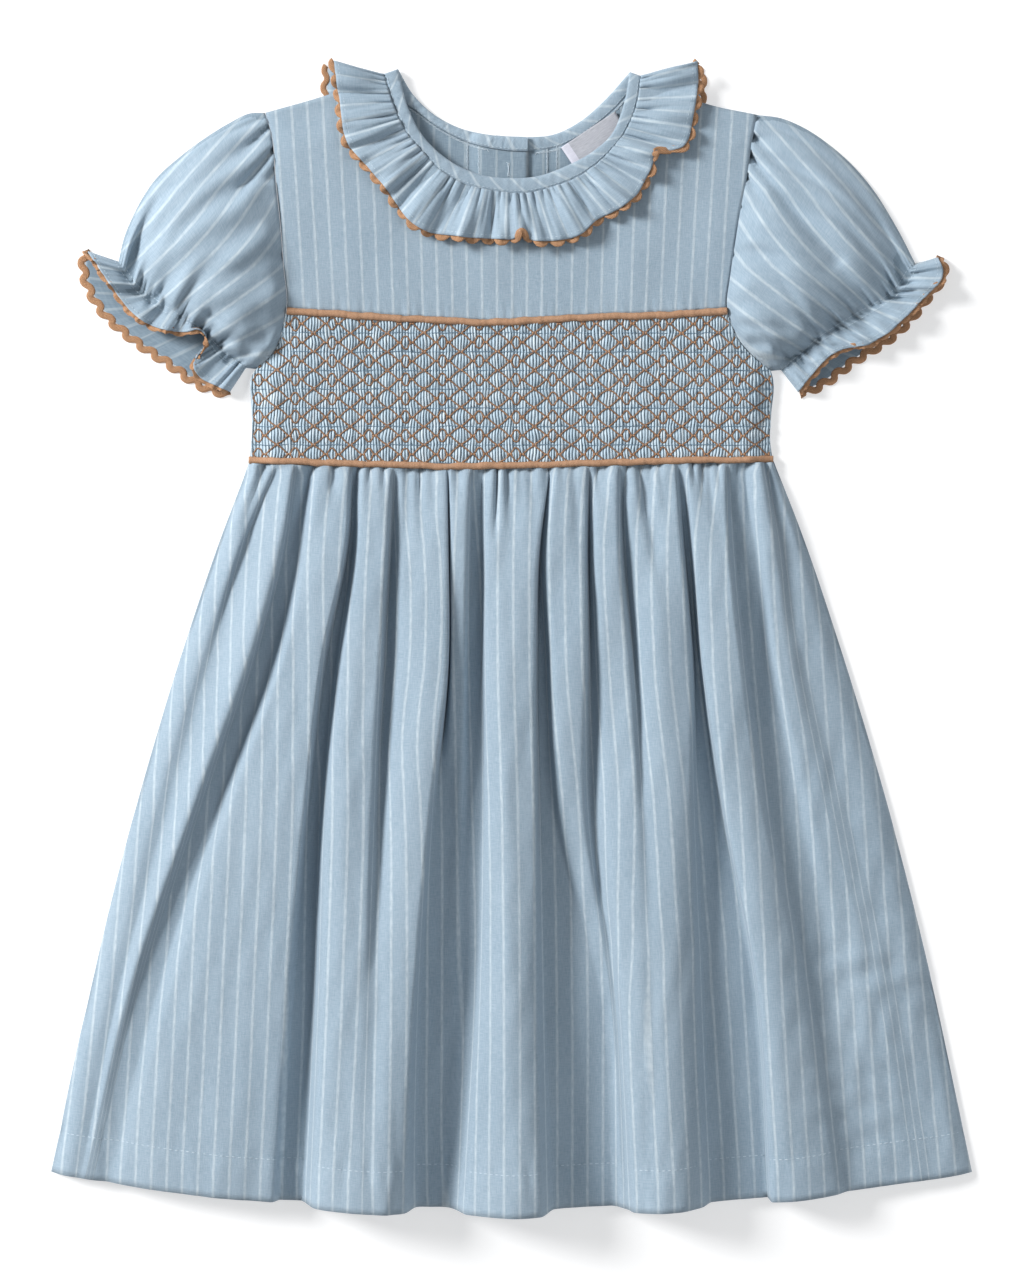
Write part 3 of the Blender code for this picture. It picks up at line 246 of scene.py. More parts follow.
# Front skirt, one row a line that runs from waist to hem: its place across and its height at each
# of FOLD_LEVELS. The cloth falls steeply from the lines named edge into the fold beside them.
FOLD_LEVELS = (0.0, 0.105, 0.255, 0.465, 0.715, 1.0)
Line = namedtuple("Line", "across height edge", defaults=(False,))
SKIRT_LINES = (
    Line((-131, -145, -163, -185.5, -208, -230), (1.5, 1.5, 1.5, 1.5, 1.5, 1.5)),
    Line((-126.5, -141, -158.5, -181, -204, -225), (7, 7, 6.5, 6, 5.5, 5.5)),
    Line((-119.5, -135.5, -153, -176, -199, -220), (9, 9.5, 9, 8, 7, 6.5), True),
    Line((-116.5, -132.5, -149, -171.5, -195, -216.5), (6, 6, 8, 8, 7, 6.5)),
    Line((-110, -115.5, -130, -158, -189.5, -213.5), (9.5, 14.5, 18, 16, 11, 7), True),
    Line((-107, -112.5, -126.5, -153.5, -184.5, -209.5), (6, 6, 6, 7.5, 8, 7.5)),
    Line((-101, -106, -119, -146, -176, -203), (6.5, 6.5, 6.3, 6.5, 7.3, 7)),
    Line((-96.5, -101, -112.5, -139, -168, -195), (9.5, 13.5, 15.5, 14.5, 13, 10.5)),
    Line((-88, -92, -103, -119, -142, -160), (9.5, 16, 17.5, 18, 17.5, 16)),
    Line((-82, -84, -95.5, -104.5, -113, -121), (9.5, 16.5, 19, 19, 18, 17), True),
    Line((-79.5, -81.5, -92, -101.5, -109, -116), (6, 6, 6, 6.8, 8, 9)),
    Line((-77.5, -79.5, -88, -96, -100, -105.5), (6.3, 6.3, 6, 6, 6.3, 6.5)),
    Line((-74.5, -76, -83.5, -91, -94, -98), (9.5, 14.5, 16, 19, 22, 24)),
    Line((-69, -71, -76, -81, -84, -86), (9.5, 16, 18, 22, 26, 30)),
    Line((-61.5, -63.5, -67, -71.5, -75, -76), (9.5, 16, 18, 22, 27, 31), True),
    Line((-58.5, -60.5, -63.5, -67, -69, -71), (6, 6.3, 7, 15, 26, 31)),
    Line((-53.5, -54.5, -55.5, -59, -60.5, -64), (9, 12.5, 14, 21, 28, 31)),
    Line((-44, -44, -45, -50, -55.5, -59), (9.5, 15, 18, 24, 28, 29)),
    Line((-33.5, -32.8, -32.8, -42, -50, -54.5), (9.5, 16, 20, 24, 27, 26), True),
    Line((-32.2, -31.5, -31.4, -39, -45.5, -48), (6, 6, 6, 7.5, 9.5, 10.5)),
    Line((-30.5, -30, -29.8, -32, -36, -41), (9, 14.5, 15, 7, 7, 7.5)),
    Line((-22, -23.2, -24.3, -26, -29, -35), (9.5, 15, 15, 8.5, 6.8, 7), True),
    Line((-19.5, -20.8, -21.8, -22, -24, -31), (6, 6, 6.2, 6.3, 6.3, 8.5)),
    Line((-15, -14.8, -15, -16, -19, -27), (6.3, 6.5, 6.2, 6.8, 9, 14.5)),
    Line((-12.5, -12, -12, -11, -14, -22), (9.5, 14, 16.5, 17.5, 20, 25)),
    Line((-2, -3, -3, -1, 0, 0), (9.5, 16, 19, 23, 28, 33)),
    Line((18, 12.8, 10.8, 10.8, 11.2, 14), (9.5, 16, 18.5, 21, 24, 29), True),
    Line((19.3, 14.1, 12.7, 14, 16.5, 21), (6, 6, 6, 6.8, 9.5, 12)),
    Line((20.7, 15.6, 17, 21, 43, 49.5), (7, 8.5, 6.5, 6.3, 6.3, 6.8)),
    Line((23.5, 18.5, 20.5, 26, 46.5, 53), (9.5, 14, 15, 12, 7.5, 9)),
    Line((36.5, 36, 36.5, 35, 49.5, 56), (9.5, 15.5, 17, 13.5, 9, 14), True),
    Line((38.7, 38.2, 38.9, 39.5, 52, 58.5), (6, 6, 6.3, 7, 11.5, 18)),
    Line((43, 42.8, 45.5, 49, 56, 62), (9, 13.5, 14.5, 16, 21.5, 26)),
    Line((52, 52.5, 57.5, 62, 65.5, 67), (9.5, 15.5, 16.5, 19, 25, 28.5), True),
    Line((54.5, 55.5, 61, 66, 69, 71), (6, 6.5, 9, 17.5, 25, 29.5)),
    Line((58.5, 60.5, 66, 72.5, 75.5, 76), (9, 12.5, 14.5, 20, 26.5, 30)),
    Line((68, 71, 75.5, 79, 81, 82), (9.5, 15, 17.5, 21, 26, 29)),
    Line((80.5, 83.5, 88.5, 88.8, 91.5, 94.5), (9.5, 15, 15.5, 18, 19.5, 21), True),
    Line((83, 86, 90.8, 92.5, 96, 99.5), (6, 6, 6, 7, 9, 10)),
    Line((85.5, 88.8, 93, 104, 121.5, 128), (7, 6.5, 6.3, 6, 6.2, 6.5)),
    Line((88, 91.5, 96, 107.5, 124.2, 130.7), (9.5, 14, 16, 18.5, 20, 20)),
    Line((95.5, 100.5, 105, 116, 132, 141), (9.5, 15.5, 18, 20.5, 22, 23)),
    Line((105, 107, 112.8, 124, 144, 161.5), (9.5, 15.5, 18, 18, 17.5, 17), True),
    Line((108.5, 111, 116.5, 128, 149, 168), (6, 6, 6.5, 9, 11, 10.5)),
    Line((114, 120, 126, 141, 161, 182), (6.5, 6.3, 6.3, 7, 8.5, 8)),
    Line((118.5, 126.5, 132, 149, 171, 193), (9, 11.5, 12.5, 10.5, 9, 7)),
    Line((123.5, 130.5, 136, 155, 180, 202), (9, 12, 12.5, 10.5, 8.5, 6), True),
    Line((126, 134.5, 144, 165, 190, 211), (6, 8, 8.5, 8, 7, 5.5)),
    Line((128.3, 140.5, 154, 176.5, 201, 222), (6, 7, 7.5, 6.5, 5.5, 5)),
    Line((130.5, 145, 163, 185.5, 208, 229.5), (1.5, 1.5, 1.5, 1.5, 1.5, 1.5)),
)
SKIRT_MIDDLE = 25  # the line that the stripes are counted from

# Low folds of the back skirt: share of the half width, height and half width in millimetres
BackFold = namedtuple("BackFold", "share height wide")
BACK_FOLDS = (BackFold(-0.52, 1.6, 9.0), BackFold(-0.3, 2.0, 11.0), BackFold(-0.06, 1.5, 9.0),
              BackFold(0.24, 2.0, 12.0), BackFold(0.5, 1.7, 10.0))


def hermite(levels: Sequence[float], values: Sequence[float], at: np.ndarray) -> np.ndarray:
    """Read a smooth curve.

    Args:
        levels: rising places along it.
        values: its value at each level.
        at: the places to read.

    Returns:
        The value at each place.
    """
    levels = np.asarray(levels, float)
    values = np.asarray(values, float)
    slopes = np.gradient(values, levels)
    at = np.clip(np.asarray(at, float), levels[0], levels[-1])
    low = np.clip(np.searchsorted(levels, at, side="right") - 1, 0, len(levels) - 2)
    step = levels[low + 1] - levels[low]
    t = (at - levels[low]) / step
    start = values[low] * (2 * t**3 - 3 * t**2 + 1) + slopes[low] * step * (t**3 - 2 * t**2 + t)
    end = values[low + 1] * (3 * t**2 - 2 * t**3) + slopes[low + 1] * step * (t**3 - t**2)
    return start + end


def rounded(at: np.ndarray, values: np.ndarray, where: np.ndarray) -> np.ndarray:
    """Read a curve that is level at its own highs and lows and never passes them.

    Args:
        at: rising places.
        values: the value at each.
        where: the places to read.

    Returns:
        The value at each of them.
    """
    step = np.diff(at)
    slope = np.diff(values) / step
    same = slope[:-1] * slope[1:] > 0
    inner = np.where(same, 2 * slope[:-1] * slope[1:] / np.where(same, slope[:-1] + slope[1:], 1), 0)
    slopes = np.concatenate([slope[:1], inner, slope[-1:]])
    low = np.clip(np.searchsorted(at, where, side="right") - 1, 0, len(at) - 2)
    t = (where - at[low]) / step[low]
    start = values[low] * (2 * t**3 - 3 * t**2 + 1) + slopes[low] * step[low] * (t**3 - 2 * t**2 + t)
    return start + values[low + 1] * (3 * t**2 - 2 * t**3) + slopes[low + 1] * step[low] * (t**3 - t**2)


def along(points: Points, shares: np.ndarray) -> np.ndarray:
    """Points at the given shares of the length of the smooth curve through points."""
    points = np.asarray(points, float)
    lengths = np.concatenate([[0], np.cumsum(np.hypot(*np.diff(points, axis=0).T))])
    shares = np.asarray(shares, float) * lengths[-1]
    return np.stack([hermite(lengths, points[:, 0], shares), hermite(lengths, points[:, 1], shares)], axis=-1)


def sideways(points: np.ndarray, distance: float | np.ndarray) -> np.ndarray:
    """A run of points moved distance to the left of its own direction."""
    points = np.asarray(points, float)
    direction = np.gradient(points, axis=0)
    direction /= np.linalg.norm(direction, axis=1, keepdims=True)
    return points + np.reshape(distance, (-1, 1)) * np.stack([-direction[:, 1], direction[:, 0]], axis=-1)


def smooth(t: np.ndarray) -> np.ndarray:
    """0 to 1 with level ends."""
    t = np.clip(t, 0, 1)
    return t * t * (3 - 2 * t)


def run_length(points: np.ndarray) -> np.ndarray:
    """How far along a run each of its points is."""
    return np.concatenate([[0], np.cumsum(np.linalg.norm(np.diff(points, axis=0), axis=1))])


def evened(values: np.ndarray, reach: int, mode: str) -> np.ndarray:
    """Values averaged over reach neighbours on each side, with np.pad's mode at the ends."""
    taps = 2 * reach + 1
    return np.convolve(np.pad(values, reach, mode=mode), np.full(taps, 1 / taps), mode="valid")


def evened_ring(run: np.ndarray, times: int) -> np.ndarray:
    """A closed run whose points are drawn toward their two neighbours this many times."""
    for _ in range(times):
        run = (np.roll(run, 1, axis=0) + run + np.roll(run, -1, axis=0)) / 3
    return run


def y_at(points: Points, x: np.ndarray) -> np.ndarray:
    """Height up the garment of an outline that runs from left to right, at x."""
    points = np.asarray(points, float)
    return hermite(points[:, 0], points[:, 1], x)


def x_at(points: Points, y: np.ndarray) -> np.ndarray:
    """Place across of an outline that runs down the garment, at y."""
    run = along(points, np.linspace(1, 0, 80))
    return np.interp(y, run[:, 1], run[:, 0])


def side_left(y: np.ndarray) -> np.ndarray:
    """The bodice's left edge at y."""
    return x_at(ARMHOLE_LEFT + SIDE_LEFT, y)


def side_right(y: np.ndarray) -> np.ndarray:
    """The bodice's right edge at y."""
    return x_at(ARMHOLE_RIGHT + SIDE_RIGHT, y)


def shoulder_y(x: np.ndarray) -> np.ndarray:
    """Height up the garment of the shoulder line at x."""
    return np.where(x < 0, y_at(SHOULDER_LEFT, x), y_at(SHOULDER_RIGHT, x))


def frill_lift(x: np.ndarray, y: np.ndarray) -> np.ndarray:
    """How far the back lies off the floor where the back frill lies under it."""
    below_neck = np.hypot(x / NECK_HALF, np.minimum(y - NECK_TOP, 0) / NECK_DEPTH)
    return FRILL_LIFT * (1 - smooth((below_neck - FRILL_REACH) / FRILL_REACH_RUN))


def back_lift(x: np.ndarray, y: np.ndarray, inner: bool) -> np.ndarray:
    """Lower face of the back bodice; the inner placket strip lies over the outer one."""
    ramp = PLACKET_RAMP_END - PLACKET_RAMP_START
    if inner:
        placket = INNER_PLACKET_LIFT * smooth((x + PLACKET_RAMP_END) / ramp)
    else:
        placket = OUTER_PLACKET_LIFT * smooth((PLACKET_RAMP_END - x) / ramp)
    return np.maximum(placket, frill_lift(x, y))


def front_lift(x: np.ndarray, y: np.ndarray) -> np.ndarray:
    """Lower face of the front bodice, coming down to the back at its edges."""
    edge = np.interp(y, *zip(*EDGE_LIFTS))
    inward = np.minimum(x - side_left(y), side_right(y) - x)
    at_shoulder = frill_lift(x, y) + SIDE_LIFT
    edge = np.maximum(edge, at_shoulder)
    from_side = edge + (FRONT_LIFT - edge) * smooth(inward / LIFT_RUN)
    from_shoulder = at_shoulder + (FRONT_LIFT - at_shoulder) * smooth((shoulder_y(x) - y) / SHOULDER_RUN)
    return np.minimum(from_side, from_shoulder)


class Rumple:
    """The small unevenness of laid cloth: a seeded sum of long and short waves."""

    def __init__(self, seed: int, across: float, down: float, waves: int = 16) -> None:
        """Draw the waves, each about across by down millimetres long."""
        draw = np.random.default_rng(seed)
        self.turn_x = draw.normal(0, 1, waves) * 2 * math.pi / across
        self.turn_y = draw.normal(0, 1, waves) * 2 * math.pi / down
        self.start = draw.uniform(0, 2 * math.pi, waves)
        self.share = math.sqrt(2 / waves)

    def __call__(self, x: np.ndarray, y: np.ndarray) -> np.ndarray:
        """The unevenness at x, y, about -2 to 2 and mostly within -1 to 1."""
        total = np.zeros(np.broadcast(x, y).shape)
        for turn_x, turn_y, start in zip(self.turn_x, self.turn_y, self.start):
            total = total + np.cos(turn_x * x + turn_y * y + start)
        return total * self.share


class NodeSheet:
    """A short way to lay out a material's nodes."""

    def __init__(self, name: str, roughness: float) -> None:
        """Start a Principled material of this name."""
        self.material = bpy.data.materials.new(name)
        self.material.use_nodes = True
        self.tree = self.material.node_tree
        self.shader = self.tree.nodes["Principled BSDF"]
        self.shader.inputs["Roughness"].default_value = roughness
        self.shader.inputs["Specular IOR Level"].default_value = 0.25

    def node(self, kind: str, **settings: object) -> bpy.types.Node:
        """A new node with these settings."""
        made = self.tree.nodes.new(kind)
        for key, value in settings.items():
            setattr(made, key, value)
        return made

    def put(self, socket: bpy.types.NodeSocket, value: object) -> None:
        """Give a socket a value or another node's output."""
        if isinstance(value, bpy.types.NodeSocket):
            self.tree.links.new(value, socket)
        elif isinstance(value, tuple) and len(value) == 3 and socket.type == "RGBA":
            socket.default_value = (*value, 1)
        else:
            socket.default_value = value

    def sum(self, kind: str, *values: object) -> bpy.types.NodeSocket:
        """The result of a Math node."""
        made = self.node("ShaderNodeMath", operation=kind)
        for socket, value in zip(made.inputs, values):
            self.put(socket, value)
        return made.outputs[0]

    def mix(self, share: object, first: object, second: object) -> bpy.types.NodeSocket:
        """A mix of two colours."""
        made = self.node("ShaderNodeMix", data_type="RGBA")
        self.put(made.inputs[0], share)
        self.put(made.inputs[6], first)
        self.put(made.inputs[7], second)
        return made.outputs[2]

    def ramp(self, value: object, low: float, high: float, to_low: float = 0.0,
             to_high: float = 1.0) -> bpy.types.NodeSocket:
        """A value moved from one range to another, held at its ends."""
        made = self.node("ShaderNodeMapRange")
        for index, given in enumerate((value, low, high, to_low, to_high)):
            self.put(made.inputs[index], given)
        return made.outputs[0]

    def split(self, place: object) -> tuple[bpy.types.NodeSocket, bpy.types.NodeSocket]:
        """The first two parts of a place."""
        made = self.node("ShaderNodeSeparateXYZ")
        self.put(made.inputs[0], place)
        return made.outputs[0], made.outputs[1]

    def noise(self, place: object, scale: tuple[float, float, float],
              detail: float = 2.0) -> bpy.types.NodeSocket:
        """Noise over a place, its scale in cells per metre along each axis."""
        stretch = self.node("ShaderNodeMapping")
        self.put(stretch.inputs["Vector"], place)
        stretch.inputs["Scale"].default_value = scale
        made = self.node("ShaderNodeTexNoise")
        self.put(made.inputs["Vector"], stretch.outputs[0])
        made.inputs["Scale"].default_value = 1.0
        made.inputs["Detail"].default_value = detail
        return made.outputs[0]

    def uv(self) -> bpy.types.NodeSocket:
        """The cloth's own map, in metres."""
        return self.node("ShaderNodeUVMap", uv_map="cloth").outputs[0]

    def finish(self, colour: object, height: object, depth: float) -> bpy.types.Material:
        """Join the colour and a bump of this depth in metres to the shader."""
        bump = self.node("ShaderNodeBump")
        bump.inputs["Strength"].default_value = 1.0
        bump.inputs["Distance"].default_value = depth
        self.put(bump.inputs["Height"], height)
        self.put(self.shader.inputs["Normal"], bump.outputs[0])
        self.put(self.shader.inputs["Base Color"], colour)
        return self.material


@dataclass(frozen=True)
class Chambray:
    """Dusty-blue chambray with pale stripes, read from a piece's map in metres."""

    name: str = "striped_chambray"
    dark: Colour = (0.27, 0.365, 0.45)
    light: Colour = (0.40, 0.495, 0.575)
    stripe: Colour = (0.67, 0.745, 0.775)
    pitch: float = 0.0078
    half_stripe: float = 0.00062
    warp_rate: float = 2600.0
    stripe_share: float = 0.56

    def material(self) -> bpy.types.Material:
        """Build the nodes."""
        sheet = NodeSheet(self.name, 0.92)
        place = sheet.uv()
        u, v = sheet.split(place)
        in_pitch = sheet.sum("PINGPONG", u, self.pitch / 2)
        waver = sheet.ramp(sheet.noise(place, (400.0, 90.0, 1.0)), 0.3, 0.7, -0.00012, 0.00012)
        off_middle = sheet.sum("ADD", in_pitch, waver)
        stripe = sheet.ramp(off_middle, self.half_stripe * 1.5, self.half_stripe * 0.5)
        thread_marks = sheet.ramp(sheet.noise(place, (900.0, 260.0, 1.0), 3.0), 0.3, 0.66, 0.35, 1.0)
        stripe = sheet.sum("MULTIPLY", sheet.sum("MULTIPLY", stripe, thread_marks), self.stripe_share)
        slub_across = sheet.noise(place, (260.0, 2400.0, 1.0), 3.0)
        slub_down = sheet.noise(place, (2400.0, 200.0, 1.0), 3.0)
        slubs = sheet.sum("MULTIPLY", sheet.sum("ADD", slub_across, slub_down), 0.5)
        cloudy = sheet.noise(place, (26.0, 18.0, 1.0), 2.0)
        share = sheet.sum("ADD", sheet.ramp(slubs, 0.36, 0.64, 0.12, 0.88),
                          sheet.ramp(cloudy, 0.3, 0.7, -0.1, 0.1))
        ground = sheet.mix(share, self.dark, self.light)
        colour = sheet.mix(stripe, ground, self.stripe)
        warp = sheet.sum("SINE", sheet.sum("MULTIPLY", u, self.warp_rate * 2 * math.pi))
        weft = sheet.sum("SINE", sheet.sum("MULTIPLY", v, self.warp_rate * 2 * math.pi))
        weave = sheet.sum("MULTIPLY", sheet.sum("MULTIPLY", warp, weft), 0.25)
        height = sheet.sum("ADD", sheet.sum("ADD", weave, slubs), sheet.sum("MULTIPLY", stripe, 0.4))
        sheet.shader.inputs["Sheen Weight"].default_value = 0.12
        sheet.shader.inputs["Sheen Roughness"].default_value = 0.5
        return sheet.finish(colour, height, 0.00022)


@dataclass(frozen=True)
class PleatedChambray:
    """The same cloth drawn up into fine pleats, one pleat for each step of the map, each fold painted dark as
    shade and each top painted light as highlight.
    """

    # painted shade in the pleats' folds; the top colour, lighter than the flat cloth, is a painted highlight
    # on the pleats' tops
    painted_valley_shade: Colour = (0.22, 0.305, 0.37)
    top: Colour = (0.5, 0.61, 0.69)
    stripe: Colour = (0.7, 0.765, 0.8)
    pitch: float = 0.00156

    def material(self) -> bpy.types.Material:
        """Build the nodes."""
        sheet = NodeSheet("smocked_chambray", 0.92)
        place = sheet.uv()
        u, _ = sheet.split(place)
        in_pleat = sheet.sum("PINGPONG", u, self.pitch / 2)
        # painted light: the top colour where the pleat opens out, the painted shade in its fold
        lit_share = sheet.ramp(in_pleat, self.pitch * 0.06, self.pitch * 0.34)
        pale = sheet.ramp(sheet.noise(place, (0.55 / self.pitch, 70.0, 1.0), 1.0), 0.5, 0.66, 0.0, 0.8)
        fine = sheet.noise(place, (2400.0, 1500.0, 1.0), 3.0)
        top = sheet.mix(pale, self.top, self.stripe)
        lit = sheet.sum("MULTIPLY", lit_share, sheet.ramp(fine, 0.2, 0.6, 0.72, 1.0))
        return sheet.finish(sheet.mix(lit, self.painted_valley_shade, top), fine, 0.0002)


@dataclass(frozen=True)
class Trim:
    """Plain woven or spun cotton of one colour, its grain set by place in metres."""

    name: str
    dark: Colour
    light: Colour
    grain: tuple[float, float, float] = (2200.0, 2200.0, 2200.0)
    depth: float = 0.00025
    roughness: float = 0.88
    by_map: bool = False

    def material(self) -> bpy.types.Material:
        """Build the nodes."""
        sheet = NodeSheet(self.name, self.roughness)
        place = sheet.uv() if self.by_map else sheet.node("ShaderNodeTexCoord").outputs["Object"]
        fine = sheet.noise(place, self.grain, 3.0)
        broad = sheet.noise(place, (110.0, 110.0, 110.0), 2.0)
        share = sheet.sum("ADD", sheet.ramp(fine, 0.32, 0.68, 0.1, 0.9),
                          sheet.ramp(broad, 0.3, 0.7, -0.12, 0.12))
        return sheet.finish(sheet.mix(share, self.dark, self.light), fine, self.depth)


@dataclass(frozen=True)
class RibbedTape:
    """Flat braid whose ribs slant across its length, read from its map in metres."""

    name: str = "ricrac_braid"
    dark: Colour = (0.36, 0.185, 0.095)
    light: Colour = (0.60, 0.345, 0.195)
    rib: float = 0.0009

    def material(self) -> bpy.types.Material:
        """Build the nodes."""
        sheet = NodeSheet(self.name, 0.82)
        place = sheet.uv()
        u, v = sheet.split(place)
        slant = sheet.sum("ADD", u, sheet.sum("ABSOLUTE", v))
        ribs = sheet.sum("SINE", sheet.sum("MULTIPLY", slant, 2 * math.pi / self.rib))
        fine = sheet.noise(place, (1800.0, 1800.0, 1.0), 3.0)
        height = sheet.sum("ADD", sheet.sum("MULTIPLY", ribs, 0.35), fine)
        # colour follows random grain and the ribs' height: darker in the grooves, painted shade
        share = sheet.ramp(height, 0.1, 0.95)
        return sheet.finish(sheet.mix(share, self.dark, self.light), height, 0.0003)


class PathTree:
    """Geometry Nodes that lay a round thread, or a row of stitches, along drawn lines."""

    def __init__(self, name: str, stitched: bool) -> None:
        """Build the tree, with short stitches or with one unbroken thread."""
        self.tree = bpy.data.node_groups.new(name, "GeometryNodeTree")
        face = self.tree.interface
        face.new_socket(name="Lines", in_out="INPUT", socket_type="NodeSocketGeometry")
        self.inputs = {
            label: face.new_socket(name=label, in_out="INPUT", socket_type=kind).identifier
            for label, kind in (("Radius", "NodeSocketFloat"), ("Pitch", "NodeSocketFloat"),
                                ("Stitch", "NodeSocketFloat"), ("Finish", "NodeSocketMaterial"))
        }
        face.new_socket(name="Geometry", in_out="OUTPUT", socket_type="NodeSocketGeometry")
        begin, end = self.node("NodeGroupInput"), self.node("NodeGroupOutput")
        line = self.node("GeometryNodeMeshToCurve")
        self.join(begin.outputs["Lines"], line.inputs["Mesh"])
        made = self.stitches(begin, line) if stitched else self.thread(begin, line)
        even = self.node("GeometryNodeSetShadeSmooth")
        whole = self.node("GeometryNodeRealizeInstances")
        finish = self.node("GeometryNodeSetMaterial")
        self.join(made, even.inputs["Geometry"])
        self.join(even.outputs["Geometry"], whole.inputs["Geometry"])
        self.join(whole.outputs["Geometry"], finish.inputs["Geometry"])
        self.join(begin.outputs["Finish"], finish.inputs["Material"])
        self.join(finish.outputs["Geometry"], end.inputs["Geometry"])

    def node(self, kind: str) -> bpy.types.Node:
        """A new node."""
        return self.tree.nodes.new(kind)

    def join(self, out: bpy.types.NodeSocket, into: bpy.types.NodeSocket) -> None:
        """Link two sockets."""
        self.tree.links.new(out, into)

    def thread(self, begin: bpy.types.Node, line: bpy.types.Node) -> bpy.types.NodeSocket:
        """A round thread along the lines."""
        ring = self.node("GeometryNodeCurvePrimitiveCircle")
        ring.inputs["Resolution"].default_value = 6
        self.join(begin.outputs["Radius"], ring.inputs["Radius"])
        tube = self.node("GeometryNodeCurveToMesh")
        tube.inputs["Fill Caps"].default_value = True
        self.join(line.outputs["Curve"], tube.inputs["Curve"])
        self.join(ring.outputs["Curve"], tube.inputs["Profile Curve"])
        return tube.outputs["Mesh"]

    def stitches(self, begin: bpy.types.Node, line: bpy.types.Node) -> bpy.types.NodeSocket:
        """Small bead-like stitches at even steps along the lines."""
        steps = self.node("GeometryNodeCurveToPoints")
        steps.mode = "LENGTH"
        self.join(line.outputs["Curve"], steps.inputs["Curve"])
        self.join(begin.outputs["Pitch"], steps.inputs["Length"])
        bead = self.node("GeometryNodeMeshUVSphere")
        bead.inputs["Segments"].default_value = 6
        bead.inputs["Rings"].default_value = 4
        bead.inputs["Radius"].default_value = 1.0
        size = self.node("ShaderNodeCombineXYZ")
        self.join(begin.outputs["Radius"], size.inputs[0])
        self.join(begin.outputs["Radius"], size.inputs[1])
        self.join(begin.outputs["Stitch"], size.inputs[2])
        shaped = self.node("GeometryNodeTransform")
        self.join(bead.outputs["Mesh"], shaped.inputs["Geometry"])
        self.join(size.outputs[0], shaped.inputs["Scale"])
        copies = self.node("GeometryNodeInstanceOnPoints")
        self.join(steps.outputs["Points"], copies.inputs["Points"])
        self.join(steps.outputs["Rotation"], copies.inputs["Rotation"])
        self.join(shaped.outputs["Geometry"], copies.inputs["Instance"])
        return copies.outputs["Instances"]

    def lay(self, name: str, lines: Sequence[np.ndarray], material: bpy.types.Material, radius: float,
            pitch: float = 3.0, stitch: float = 1.0) -> bpy.types.Object:
        """Lay thread along lines.

        Args:
            name: the object's name.
            lines: runs of points in millimetres as drawn.
            material: the thread's finish.
            radius: the thread's radius in millimetres.
            pitch: the step from stitch to stitch.
            stitch: half the length of a stitch.

        Returns:
            A plain mesh of the laid thread.
        """
        points = settled(np.concatenate(lines))
        edges, start = [], 0
        for line in lines:
            edges += [(start + index, start + index + 1) for index in range(len(line) - 1)]
            start += len(line)
        mesh = bpy.data.meshes.new(name)
        mesh.from_pydata(points.tolist(), edges, [])
        made = bpy.data.objects.new(name, mesh)
        bpy.context.scene.collection.objects.link(made)
        modifier = made.modifiers.new("Path", "NODES")
        modifier.node_group = self.tree
        for label, value in (("Radius", radius * MM), ("Pitch", pitch * MM), ("Stitch", stitch * MM),
                             ("Finish", material)):
            modifier[self.inputs[label]] = value
        return baked(made)


@dataclass(frozen=True)
class Wardrobe:
    """Every finish of the dress and the two trees that lay its threads, built once."""

    chambray: bpy.types.Material
    smocked_chambray: bpy.types.Material
    # a darker copy of the chambray: painted shade for the inside seen through the neck and the cuffs
    chambray_painted_shade: bpy.types.Material
    braid: bpy.types.Material
    piping: bpy.types.Material
    smocking_thread: bpy.types.Material
    knot_thread: bpy.types.Material
    gather_thread: bpy.types.Material
    sewing_thread: bpy.types.Material
    label: bpy.types.Material
    label_end: bpy.types.Material
    button: bpy.types.Material
    stitches: PathTree
    cord: PathTree


def make_wardrobe() -> Wardrobe:
    """Build the finishes and the thread trees."""
    spun = (1500.0, 1500.0, 1500.0)
    satin = (300.0, 2600.0, 1.0)
    shell = (60.0, 60.0, 60.0)
    finishes = {
        "chambray": Chambray(),
        "smocked_chambray": PleatedChambray(),
        # painted shade: a darker copy of the chambray for the garment's inside
        "chambray_painted_shade": Chambray("chambray_painted_shade", (0.19, 0.265, 0.335), (0.3, 0.385, 0.455),
                                    (0.5, 0.575, 0.61)),
        "braid": RibbedTape(),
        "piping": Trim("piping_cloth", (0.31, 0.17, 0.095), (0.52, 0.31, 0.195)),
        "smocking_thread": Trim("smocking_thread", (0.1, 0.055, 0.035), (0.43, 0.25, 0.15), spun),
        "knot_thread": Trim("knot_thread", (0.22, 0.11, 0.06), (0.58, 0.34, 0.2), spun),
        "gather_thread": Trim("gather_thread", (0.10, 0.17, 0.24), (0.2, 0.29, 0.37)),
        "sewing_thread": Trim("sewing_thread", (0.42, 0.52, 0.6), (0.66, 0.74, 0.79)),
        "label": Trim("label_weave", (0.36, 0.37, 0.41), (0.5, 0.51, 0.55), satin, by_map=True),
        "label_end": Trim("label_end", (0.56, 0.56, 0.64), (0.68, 0.68, 0.76), satin, by_map=True),
        "button": Trim("button_shell", (0.62, 0.59, 0.53), (0.78, 0.76, 0.71), shell, 0.00002, 0.35),
    }
    return Wardrobe(**{name: finish.material() for name, finish in finishes.items()},
                    stitches=PathTree("stitch_run", stitched=True),
                    cord=PathTree("laid_thread", stitched=False))


def paint_inside_shade(made: bpy.types.Object, wardrobe: Wardrobe, top: float = 100.0) -> None:
    """Give a back layer's upward faces a darker copy of the cloth: painted shade on the garment's inside.

    Args:
        made: the piece.
        wardrobe: the finishes.
        top: the height in millimetres that such faces lie below.
    """
    made.data.materials.append(wardrobe.chambray_painted_shade)
    for face in made.data.polygons:
        if face.normal.z > 0.3 and face.center.z < top * MM:
            face.material_index = 1


def settled(points: np.ndarray) -> np.ndarray:
    """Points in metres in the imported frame, drawn in toward the middle by their height."""
    points = np.asarray(points, float).reshape(-1, 3).copy()
    points[:, :2] *= 1 - points[:, 2:] * LEAN_IN
    points[:, :2] -= ORIGIN
    return points * MM


